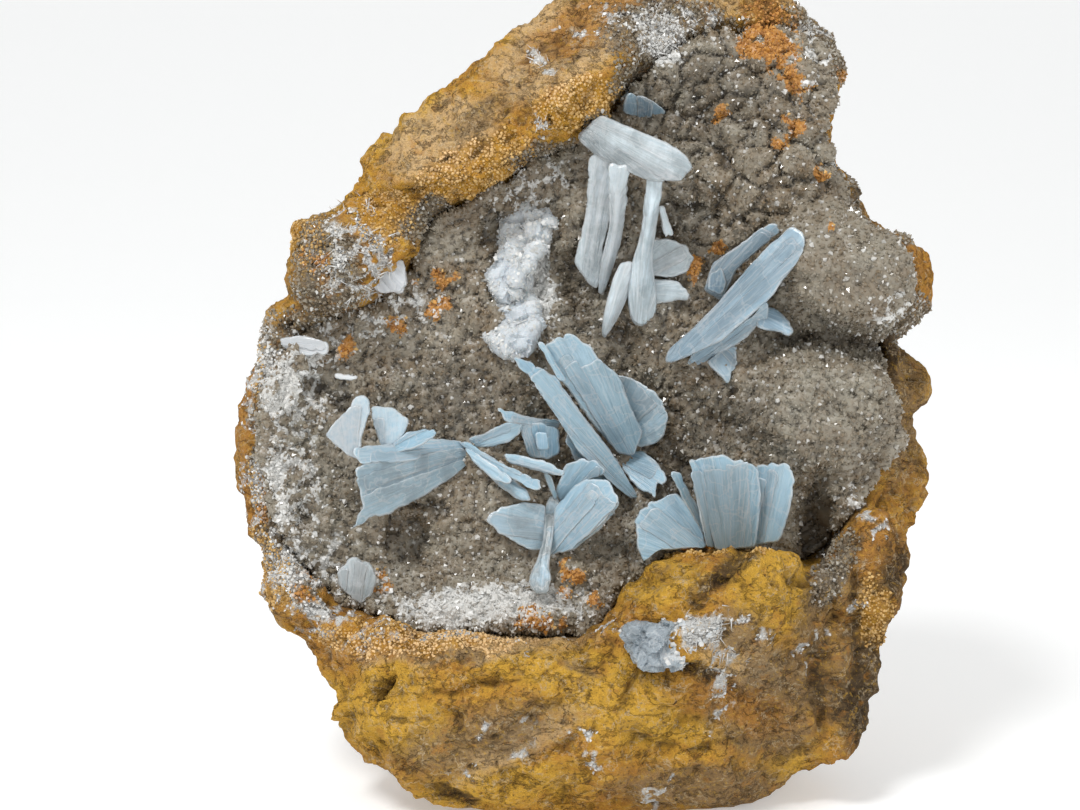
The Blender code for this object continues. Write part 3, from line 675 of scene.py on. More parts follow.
def druse_material():
    crust = Recipe("druse_ground")
    fine = crust.noise(0.9, 4, 0.65)
    shade = (fine * 0.5 + crust.speckle(0.7) * 0.5).ramp(0.25, 0.8)
    white = (crust.mask("white") + (fine - 0.5) * 1.3).ramp(0.35, 0.65)
    colour = crust.layered(
        druse_ground_colour(crust),
        (crust.mask("pale") * 0.2 + (fine - 0.5) * 0.6, DRUSE_LILAC), (shade * 0.35, DRUSE_LILAC),
        # Painted shade: creases, pits and shadowed places are darkened to near black.
        (crust.mask("painted_shade") * 0.85, PIT_SHADE), (rust_stain(crust, fine), CRUMB_ORANGE),
        (white * 0.7, CHALK),
    )
    crust.bump(fine, 0.3, 0.6)
    return crust.finish(Base_Color=colour, Roughness=0.35, Specular_IOR_Level=0.5)


# %% [markdown]
# Its colours and its painted shade lie in ovals on the face too. The lumps are relief on the
# crust: they are largest at the upper right, and a few pits are pressed in between them.

# %% Druse
WHITE_ON_DRUSE = rows("""
    -8,-33.5,17,4.2,2,.6 -2,22,5,12,8,.8 -35.5,22,3,9,25,.6 -41,2,6,8,0,.8 -41,-13,6,7,0,.8
    -36,-27,6,6,0,.8 -38,10,5,4,0,.8 -30,-30,5,3,0,.8 47.9,39.4,1.4,1.4,0,.5 44,53.5,1.2,2.8,0,.6
    20,58,3,3,0,.7 16,-33,8,3,0,.8 54,-16,4,2,-40,.8 58,16,3,3,0,.8 -24,15,8,3,20,.9
    -1,36,6,3,30,.9 46,59,4,3,0,.8
""")
ORANGE_ON_DRUSE = rows("""
    37.7,60,5,4,0,.8 42,54,5,1.8,-40,.7 30.2,48.2,1.3,1.3,0,.6 42.2,46,1.8,1.8,0,.6
    39.8,43.6,1.2,1.2,0,.6 46,38.6,1.2,1.2,0,.6 25.2,22.6,2.1,2.3,0,.6 30,26.4,1.8,1.3,20,.6
    -15.2,21.1,2.3,1.3,0,.6 -16.5,16.3,2.2,2.2,0,.6 -23.8,12.9,1.6,1.6,0,.6 -20.8,20.3,1,1,0,.6
    -31.7,9.4,1.8,1.8,0,.6 -26.4,-29.7,1.8,1.8,0,.6 5.4,-27.6,2.2,2.0,0,.6 4,-31.6,1.3,1.3,0,.6
    9,-32.2,1.3,1.3,0,.6 -1.7,-35,2,1.6,0,.6 2.1,-35.5,2.6,1.5,0,.6 -31.7,-31,2,2,0,.6
    -24,31,3,3,0,.7 18,-21,3,2.4,0,.5 26,-23,3,2,0,.6 48,30,1,1,0,.6
""")
SOLID_WHITE = rows("""
    -10,-33,14,3.2,2,.6 -2,22,3,9,8,.6 20,58,2,2,0,.7 -42,4,2,5,10,.8 -43,-10,1.8,4,0,.8
    -41,-22,2,4,0,.8
""")
PALE_DRUSE = rows("""
    52,24,14,9,-22,.5 48,0,14,11,0,.6 -12,-28,22,7,0,.6 14,-29,10,5,0,.6 -38,-14,8,14,0,.7
    42,12,9,5,0,.7
""")
# Painted shade: these ovals darken shadowed places in the crust.
DRUSE_SHADE_PATCHES = rows("""
    46,-22,3,9,0,.6 24,-11,4,6,0,.6 6,20,4,7,0,.7 -23,-23,4,3,0,.6 18,22,4,8,0,.7
    49,10,12,2,-10,.6 24,33,5,6,0,.8 -14,2,8,6,0,.9 51,13,9,1.5,-20,.6 30,-2,8,5,0,.8
    28,50,10,6,0,.9
""")
# Pits pressed into the crust; they are also painted dark as shade.
DRUSE_PITS = rows("""
    -22.5,-22,4,4,0,.5 -37,3,2.4,2.0,0,.5 -33,1,2,2.4,0,.5 46,-21,2.5,8,0,.6 6,21,2.5,4,0,.6
    20,30,2,3,0,.6 24,-13,3,4,0,.6 -18,-17,3,1.6,10,.6 30,42,1.6,2.4,0,.6 -8,30,2,3,0,.6
    -39,-18,2,2.4,0,.6 12,12,4,2,0,.7
""")
LARGE_LUMPS = rows("""
    37,46,16,14,0,.4 27,56,14,8,0,.4 30,33,10,8,0,.5
""")
SMOOTH_DRUSE = rows("""
    52,24,14,9,-22,.4
""")
CRUST_FACET = 0.5
CRUST_GRAINS = (0.9, 6, 13), (0.5, 2.6, 15), (0.3, 1.2, 14)
KNOB = (-21, -19.5, 2.4, 2.4)


def build_druse():
    crust, places = fine_skin("quartz_druse", "quartz_crust", CRUST_FACET, 3)
    data, normals = crust.data, normals_of(crust.data)
    spots = places / MM
    a, b, _ = seen_at(places)
    facing = normals @ np.array((0, -math.cos(LEAN), math.sin(LEAN)))
    front = soft_step(-0.1, 0.35, facing)
    large = patches(a, b, LARGE_LUMPS)
    smooth = patches(a, b, SMOOTH_DRUSE)
    bent = warped(spots, 4, 1.6)
    lumps = (1 - large) * (cobbles(bent, 2.6, 11) - 0.5) * 1.1 * (1 - 0.7 * smooth)
    lumps += large * (cobbles(bent, 4.6, 12) - 0.5) * 2.2 + large * cobbles(spots, 2.2, 16) * 0.5
    lumps -= 1.8 * patches(*wavering(places), DRUSE_PITS)
    lumps += grains(spots, CRUST_GRAINS)
    lumps += 0.9 * patches(a, b, ORANGE_ON_DRUSE) + 1.2 * patch(a, b, *KNOB)
    places += normals * ((lumps + 0.35) * front)[:, None] * MM
    move_to(data, places)
    sunk = sinking(data, places, normals, 10)
    a, b = wavering(places)
    # Painted shade: darker where the crust sinks below its broad shape, less so on pale ground, and
    # in the shadowed ovals and pits.
    druse_shade = soft_step(0.08, 0.55, sunk) * (1 - 0.5 * patches(a, b, PALE_DRUSE))
    broken = speckled(spots)
    druse_shade += (0.15 + 0.4 * broken) * patches(a, b, DRUSE_SHADE_PATCHES + DRUSE_PITS)
    paint(data, "painted_shade", druse_shade)
    threads = np.maximum(network(spots, 3.0, 73), patches(a, b, SOLID_WHITE))
    paint(data, "white", patches(a, b, WHITE_ON_DRUSE) * threads)
    paint(data, "orange", patches(a, b, ORANGE_ON_DRUSE) * broken)
    paint(data, "pale", patches(a, b, PALE_DRUSE))
    paint(data, "front", front)
    wear(crust, druse_material())
    finish_piece(crust, "druse", "quartz_druse")
    return crust


crust = build_druse()

# %% [markdown]
# Thousands of small crystals are best left to Geometry Nodes. The tree scatters points
# evenly over a surface, puts a crystal on each, turns and sizes it at random, and gives
# each one a number of its own that its material can use.

# %% Scatter tree
MOST_DENSE = 5.0e6


def scatter_tree():
    tree = bpy.data.node_groups.new("scatter crystals", "GeometryNodeTree")

    def socket(name, kind, way="INPUT"):
        tree.interface.new_socket(name, in_out=way, socket_type=f"NodeSocket{kind}")

    def node(kind, settings=None, inputs=None):
        return add_node(tree, kind, settings, inputs)

    for name, kind in (
        ("Surface", "Geometry"), ("Crystal", "Object"), ("Material", "Material"),
        ("Spacing", "Float"), ("Least size", "Float"), ("Most size", "Float"), ("Tilt", "Float"),
        ("Seed", "Int"),
    ):
        socket(name, kind)
    socket("Crystals", "Geometry", "OUTPUT")
    given = node("NodeGroupInput").outputs
    grow = node("GeometryNodeInputNamedAttribute", {"data_type": "FLOAT"}, {"Name": "grow"})
    points = node(
        "GeometryNodeDistributePointsOnFaces",
        {"distribute_method": "POISSON"},
        {"Mesh": given["Surface"], "Distance Min": given["Spacing"], "Density Max": MOST_DENSE,
         "Density Factor": grow.outputs[0], "Seed": given["Seed"]},
    )
    size = node(
        "FunctionNodeRandomValue", {"data_type": "FLOAT"},
        {2: given["Least size"], 3: given["Most size"], "Seed": given["Seed"]},
    )
    lean = node("ShaderNodeMath", {"operation": "MULTIPLY"}, {0: given["Tilt"], 1: -1.0})
    least = node("ShaderNodeCombineXYZ", {}, {0: lean.outputs[0], 1: lean.outputs[0], 2: 0.0})
    most = node("ShaderNodeCombineXYZ", {}, {0: given["Tilt"], 1: given["Tilt"], 2: math.tau})
    turn = node(
        "FunctionNodeRandomValue", {"data_type": "FLOAT_VECTOR"},
        {0: least.outputs[0], 1: most.outputs[0], "Seed": given["Seed"]},
    )
    as_turn = node("FunctionNodeEulerToRotation", {}, {0: turn.outputs[0]})
    turned = node(
        "FunctionNodeRotateRotation", {"rotation_space": "LOCAL"},
        {0: points.outputs["Rotation"], 1: as_turn.outputs[0]},
    )
    crystal = node(
        "GeometryNodeObjectInfo", {"transform_space": "ORIGINAL"},
        {"Object": given["Crystal"], "As Instance": True},
    )
    copies = node(
        "GeometryNodeInstanceOnPoints", {},
        {"Points": points.outputs["Points"], "Instance": crystal.outputs["Geometry"],
         "Rotation": turned.outputs[0], "Scale": size.outputs[1]},
    )
    number = node("FunctionNodeRandomValue", {"data_type": "FLOAT"}, {2: 0.0, 3: 1.0, "Seed": 7})
    stored = node(
        "GeometryNodeStoreNamedAttribute", {"data_type": "FLOAT", "domain": "INSTANCE"},
        {"Geometry": copies.outputs[0], "Name": "own", "Value": number.outputs[1]},
    )
    real = node("GeometryNodeRealizeInstances", {}, {0: stored.outputs[0]})
    coloured = node(
        "GeometryNodeSetMaterial", {}, {"Geometry": real.outputs[0], "Material": given["Material"]}
    )
    node("NodeGroupOutput", {}, {0: coloured.outputs[0]})
    return tree


SCATTER = scatter_tree()
HELPERS = []


def crystal_shape(name, sides, radius, above, below):
    """A closed double pyramid in millimetres, its upper point outwards."""
    mesh = bmesh.new()
    top = mesh.verts.new((0, 0, above * MM))
    foot = mesh.verts.new((0, 0, -below * MM))
    ring = []
    for side in range(sides):
        turn = math.tau * side / sides
        wide = radius * (1 + 0.18 * math.sin(side * 2.3))
        ring.append(mesh.verts.new((wide * math.cos(turn) * MM, wide * math.sin(turn) * MM, 0)))
    for first, second in zip(ring, ring[1:] + ring[:1]):
        mesh.faces.new((first, second, top))
        mesh.faces.new((second, first, foot))
    made = object_from(mesh, name)
    made.hide_render = True
    HELPERS.append(made)
    return made


def scattered(name, surface, grow, crystal, material, spacing, least, most, tilt, seed):
    """A piece made of crystals scattered over a surface, where grow is above 0."""
    made = linked(name, surface.data.copy())
    paint(made.data, "grow", grow)
    modifier = made.modifiers.new("crystals", "NODES")
    modifier.node_group = SCATTER
    wanted = {
        "Crystal": crystal, "Material": material, "Spacing": spacing * MM * FINE,
        "Least size": least, "Most size": most, "Tilt": tilt, "Seed": seed,
    }
    for item in SCATTER.interface.items_tree:
        if item.in_out == "INPUT" and item.name in wanted:
            modifier[item.identifier] = wanted[item.name]
    return baked(made)


def mask_of(surface, name):
    values = np.empty(len(surface.data.vertices), np.float32)
    surface.data.attributes[name].data.foreach_get("value", values)
    return values


def carry_masks(surface, made, names):
    """Gives scattered crystals the masks of the surface under them."""
    from_data = surface.data
    tree = BVHTree.FromPolygons(
        [tuple(v.co) for v in from_data.vertices], [tuple(p.vertices) for p in from_data.polygons]
    )
    first = np.array([p.vertices[0] for p in from_data.polygons])
    nearest = np.array([tree.find_nearest(v.co)[2] for v in made.data.vertices])
    for name in names:
        paint(made.data, name, mask_of(surface, name)[first[nearest]])


# %% [markdown]
# The quartz crystals of the druse are clear to smoky points about as large as a grain of
# sugar. Their many small faces are what makes the druse glitter.

# %% Quartz points
QUARTZ_GLINT = (0.45, 0.435, 0.38)


def quartz_material():
    quartz = Recipe("quartz")
    own = quartz.mask("own")
    fine = quartz.noise(0.9, 4, 0.65)
    lumpy = quartz.noise(2.2, 3)
    white = (quartz.mask("white") + (own - 0.5) * 0.7).ramp(0.35, 0.65)
    colour = quartz.layered(
        druse_ground_colour(quartz), (quartz.mask("pale") * 0.15 + own * 0.3, DRUSE_LILAC),
        (lumpy.ramp(0.44, 0.34) * 0.6, DRUSE_BROWN), (lumpy.ramp(0.55, 0.68) * 0.5, QUARTZ_GLINT),
        # Painted shade carried from the crust darkens points in its creases and pits.
        (quartz.mask("painted_shade") * 0.75, PIT_SHADE), (own.ramp(0.9, 0.94) * 0.55, CHALK),
        (rust_stain(quartz, fine), CRUMB_ORANGE), (white * 0.75, CHALK),
    )
    return quartz.finish(
        Base_Color=colour, Roughness=own * 0.25 + 0.08, Specular_IOR_Level=0.6,
        Subsurface_Weight=0.25, Subsurface_Radius=(0.5, 0.5, 0.5), Subsurface_Scale=0.001,
    )


def build_quartz():
    point = crystal_shape("quartz_point", 5, 0.34, 0.50, 0.40)
    material = quartz_material()
    facing, grey = mask_of(crust, "front") > 0.5, mask_of(rock, "grey") > 0.5
    for name, surface, where, spacing, least, most, tilt, seed in (
        ("quartz_points_small", crust, facing, 0.56, 0.6, 1.05, 0.7, 3),
        ("quartz_points_large", crust, facing, 1.4, 0.9, 1.6, 0.7, 4),
        ("quartz_points_on_rock", rock, grey, 0.6, 0.6, 1.3, 0.8, 5),
    ):
        made = scattered(name, surface, where, point, material, spacing, least, most, tilt, seed)
        # The crust's painted shade goes with its stains onto the points.
        stains_and_shade = ("painted_shade", "orange", "white")
        carry_masks(surface, made, stains_and_shade if surface == rock else ("pale", *stains_and_shade))
        finish_piece(made, "druse")


build_quartz()

# %% [markdown]
# Rust has settled on the rims as crumbs of ochre, and in the hollow as small orange
# clusters. White barite fills cracks with fine fibres and flakes.

# %% Crumbs and fibres
CRUMB_OCHRES = (0.44, 0.25, 0.07), (0.64, 0.43, 0.17)
CRUMB_RUSTS = (0.27, 0.105, 0.024), (0.60, 0.31, 0.080)
FIBRE_WHITES = (0.46, 0.46, 0.44), (0.78, 0.78, 0.76)


def crumb_material():
    crumb = Recipe("rust_crumbs")
    own = crumb.mask("own")
    colour = crumb.layered(
        crumb.mix(own, *CRUMB_OCHRES), (crumb.mask("tan") * 0.7, TAN),
        (crumb.mask("orange").ramp(0.2, 0.5), crumb.mix(own, *CRUMB_RUSTS)),
        # Painted shade carried from the surface darkens crumbs in its creases and pits.
        (crumb.mask("painted_shade") * 0.7, DARK_BROWN),
    )
    return crumb.finish(Base_Color=colour, Roughness=0.75)


def fibre_material():
    fibre = Recipe("white_fibres")
    colour = fibre.mix(fibre.mask("own"), *FIBRE_WHITES)
    return fibre.finish(Base_Color=colour, Roughness=0.4, Subsurface_Weight=0.3,
                        Subsurface_Radius=(1, 1, 1), Subsurface_Scale=0.0005)


flake = crystal_shape("flake_shape", 5, 0.40, 0.12, 0.12)
white = fibre_material()


def build_crumbs_and_fibres():
    crumb = crystal_shape("crumb_shape", 5, 0.30, 0.26, 0.24)
    fibre = crystal_shape("fibre_shape", 4, 0.11, 1.5, 0.3)
    rust = crumb_material()
    on_rock, on_crust = mask_of(rock, "white"), mask_of(crust, "white")
    tufts = (mask_of(rock, "fibrous") > 0.3) & (on_rock > 0.35)
    crumbly, rusted = mask_of(rock, "crumbly") > 0.5, mask_of(crust, "orange") > 0.45
    for name, surface, where, shape, material, spacing, small, large, tilt, seed in (
        ("crumbs_on_rock", rock, crumbly, crumb, rust, 0.46, 0.5, 1.4, 1.5, 11),
        ("crumbs_on_druse", crust, rusted, crumb, rust, 0.42, 0.7, 1.6, 1.5, 12),
        ("fibres_on_rock", rock, tufts, fibre, white, 0.6, 0.4, 1.3, 1.2, 13),
        ("flakes_on_rock", rock, on_rock > 0.35, flake, white, 0.5, 0.3, 1.0, 0.9, 14),
        ("fibres_on_druse", crust, on_crust > 0.7, fibre, white, 0.9, 0.3, 0.9, 1.2, 15),
        ("flakes_on_druse", crust, on_crust > 0.4, flake, white, 0.6, 0.5, 1.7, 1.1, 16),
    ):
        made = scattered(name, surface, where, shape, material, spacing, small, large, tilt, seed)
        # Rust crumbs take the surface's stains and its painted shade.
        if material == rust:
            names = ("orange", "painted_shade", "tan") if surface == rock else ("orange", "painted_shade")
            carry_masks(surface, made, names)
        finish_piece(made, "limonite" if material == rust else "white_barite")


build_crumbs_and_fibres()

# %% [markdown]
# Barite grows as thin blades that fan out from one root. Each blade here is drawn as it
# is seen, by its outline, and by how its face rises from its root to its tip. The edge is
# made ragged and bevelled, with a painted highlight along it, and low steps run along the
# growth as on real blades.

# %% One blade
EDGE_STEP = 0.4
BEVEL = 0.25
RIM_WIDTH = 0.5
MIDDLE_LINE_ENDS = 0.3
BARITE_NUMBERS = ("along", "across", "reach", "rim", "own", "white", "dim")


def ground_at(a, b):
    """How far out the crust lies where it is seen at (a, b)."""
    towards = (place(a, b, 0) - EYE).normalized()
    hit = crust_tree.ray_cast(EYE, towards)[0]
    return seen_at([hit])[2][0] if hit is not None else 2.0


def blade(outline, root, tip, low, high, roll=0, thick=1, steps=0, round_=0, white=0, rag=1,
          dim=0):
    """A blade: its outline, root and tip, how its face rises and rolls, its thickness, how
    many steps lie on it, and how round, white, ragged and dim it is."""
    return {"outline": rows(outline), "root": root, "tip": tip, "low": low, "high": high,
            "roll": roll, "thick": thick, "steps": steps, "round": round_, "white": white,
            "rag": rag, "dim": dim}


def resampled(outline, step=EDGE_STEP):
    points = []
    for start, end in zip(outline, outline[1:] + outline[:1]):
        count = max(1, round(math.dist(start, end) / step))
        points += [
            (start[0] + (end[0] - start[0]) * i / count, start[1] + (end[1] - start[1]) * i / count)
            for i in range(count)
        ]
    return np.array(points)


def cut_by(outline, normal, reach):
    """The part of an outline whose distance along normal is under reach."""
    kept = []
    for start, end in zip(outline, outline[1:] + outline[:1]):
        first = start[0] * normal[0] + start[1] * normal[1] - reach
        last = end[0] * normal[0] + end[1] * normal[1] - reach
        if first <= 0:
            kept.append(start)
        if first * last < 0:
            share = first / (first - last)
            kept.append(tuple(s + (e - s) * share for s, e in zip(start, end)))
    return kept


def course(shape):
    """A blade's root as an array, its length, and the ways along and across it."""
    root, tip = np.array(shape["root"], float), np.array(shape["tip"], float)
    length = math.dist(root, tip)
    way = (tip - root) / length
    return root, length, way, np.array((-way[1], way[0]))


class Crystals:
    """Blades gathered into one mesh, with the numbers their material needs."""

    def __init__(self, seed):
        self.random = np.random.default_rng(seed)
        self.places, self.faces = [], []
        self.numbers = {name: [] for name in BARITE_NUMBERS}

    def ring(self, points, levels, given):
        first = len(self.places)
        for (a, b), level in zip(points, levels):
            self.places.append(place(a, b, level))
        for name, values in given.items():
            self.numbers[name].extend(np.broadcast_to(values, len(points)))
        return range(first, first + len(points))

    def plate(self, outline, shape, base, lift, thick, own):
        """One closed plate: rings from the edge inwards on its face, and the same behind."""
        root, length, way, side = course(shape)
        edge = resampled(outline)
        count = len(edge)
        for _ in range(2 + round(12 * shape["round"])):
            edge = 0.5 * edge + 0.25 * (np.roll(edge, 1, 0) + np.roll(edge, -1, 0))
        tangent = np.roll(edge, -1, 0) - np.roll(edge, 1, 0)
        outward = np.stack((tangent[:, 1], -tangent[:, 0]), 1)
        outward /= np.linalg.norm(outward, axis=1)[:, None] + 1e-9
        if np.cross(edge, np.roll(edge, -1, 0)).sum() < 0:
            outward = -outward
        spots = np.column_stack((edge, np.full(count, own * 40)))
        nearness = soft_step(0.5, 1.0, (edge - root) @ way / length)
        bite = grain(spots, 1.3, 41) * (0.10 + 0.15 * nearness) + grain(spots, 0.6, 42) * 0.08
        bite += nearness * (np.sqrt(np.abs(grain(spots, 2.6, 43))) - 0.45) * 0.7
        edge = edge + outward * (bite * shape["rag"])[:, None]
        along = (edge - root) @ way
        across = (edge - root) @ side
        low, high = along.min(), along.max()
        end = MIDDLE_LINE_ENDS * (high - low)
        held = np.clip(along, low + end, high - end)
        near = np.abs(along[:, None] - held[None, :]) < max(0.8, 0.1 * (high - low))
        widest = np.where(near, across[:, None], -np.inf).max(0)
        least = np.where(near, across[:, None], np.inf).min(0)
        middle = root + held[:, None] * way + ((widest + least) / 2)[:, None] * side
        inward = middle - edge
        depth = np.linalg.norm(inward, axis=1)

        def inset(by, most):
            share = np.minimum(by / np.maximum(depth, 1e-6), most)
            return edge + inward * share[:, None]

        def levels(points):
            rise = shape["low"] + (shape["high"] - shape["low"]) * ((points - root) @ way) / length
            return base + lift + rise + shape["roll"] * ((points - root) @ side)

        def numbers(points, rim):
            run = (points - root) @ way
            fan = (length + 8) / (np.maximum(run, -4) + 8)
            return {"along": run, "across": (points - root) @ side * fan, "rim": rim,
                    "reach": run / length, "own": own, "white": shape["white"],
                    "dim": shape["dim"]}

        dome = shape["round"] * thick
        # The edge rings carry a painted highlight, fullest at the outer edge and fading inwards;
        # the rear ring gets half.
        rim = 1.0 if lift == 0 else 0.8
        front = [(inset(0, 0), -0.5 * thick, rim), (inset(BEVEL * 0.4, 0.2), -0.15 * thick, rim),
                 (inset(BEVEL, 0.35), 0.0, 0.7 * rim), (inset(RIM_WIDTH, 0.5), 0.35 * dome, 0.0)]
        if dome:
            front += [(inset(99, share), dome * height, 0.0)
                      for share, height in ((0.6, 0.7), (0.75, 0.9), (0.9, 1.0))]
        loops = [self.ring(p, levels(p) + down, numbers(p, pale)) for p, down, pale in front]
        behind = inset(BEVEL, 0.35)
        rear = self.ring(behind, levels(behind) - thick, numbers(behind, 0.5))
        loops.insert(0, rear)
        for outer, inner in zip(loops, loops[1:]):
            for spot in range(count):
                after = (spot + 1) % count
                self.faces.append((outer[spot], outer[after], inner[after], inner[spot]))
        self.faces.append(tuple(loops[-1]))
        self.faces.append(tuple(reversed(rear)))

    def add(self, shape, base):
        own = self.random.random()
        self.plate(shape["outline"], shape, base, 0.0, shape["thick"], own)
        _, _, way, side = course(shape)
        corners = np.array(shape["outline"])
        low, high = (corners @ side).min(), (corners @ side).max()
        first, last = (corners @ way).min(), (corners @ way).max()
        lift = 0.0
        for _ in range(shape["steps"]):
            start, end = np.sort(self.random.uniform(0, 1, 2))
            start, end = min(start, 0.7), max(end, start + 0.25)
            strip = cut_by(shape["outline"], side, low + (high - low) * end)
            strip = cut_by(strip, -side, -(low + (high - low) * start)) if strip else strip
            reach = first + (last - first) * self.random.uniform(0.72, 0.98)
            strip = cut_by(strip, way, reach) if len(strip) > 2 else strip
            if len(strip) > 2:
                lift += self.random.uniform(0.05, 0.12)
                self.plate(strip, shape, base, lift, 0.5 + lift, self.random.random())

    def finished(self, name, material):
        data = bpy.data.meshes.new(name)
        data.from_pydata(self.places, [], self.faces)
        for key, values in self.numbers.items():
            layer = data.attributes.new(key, "FLOAT", "POINT")
            layer.data.foreach_set("value", np.array(values, np.float32))
        mesh = bmesh.new()
        mesh.from_mesh(data)
        bmesh.ops.triangulate(mesh, faces=[face for face in mesh.faces if len(face.verts) > 4])
        bmesh.ops.recalc_face_normals(mesh, faces=mesh.faces)
        mesh.to_mesh(data)
        mesh.free()
        data.materials.append(material)
        return linked(name, data)


# %% [markdown]
# The blades of each spray, as they are seen. Heights are above the crust at the spray's
# root. A few are white and chalky, the stalks under the mushroom cap are round, and the
# broad blades carry steps.

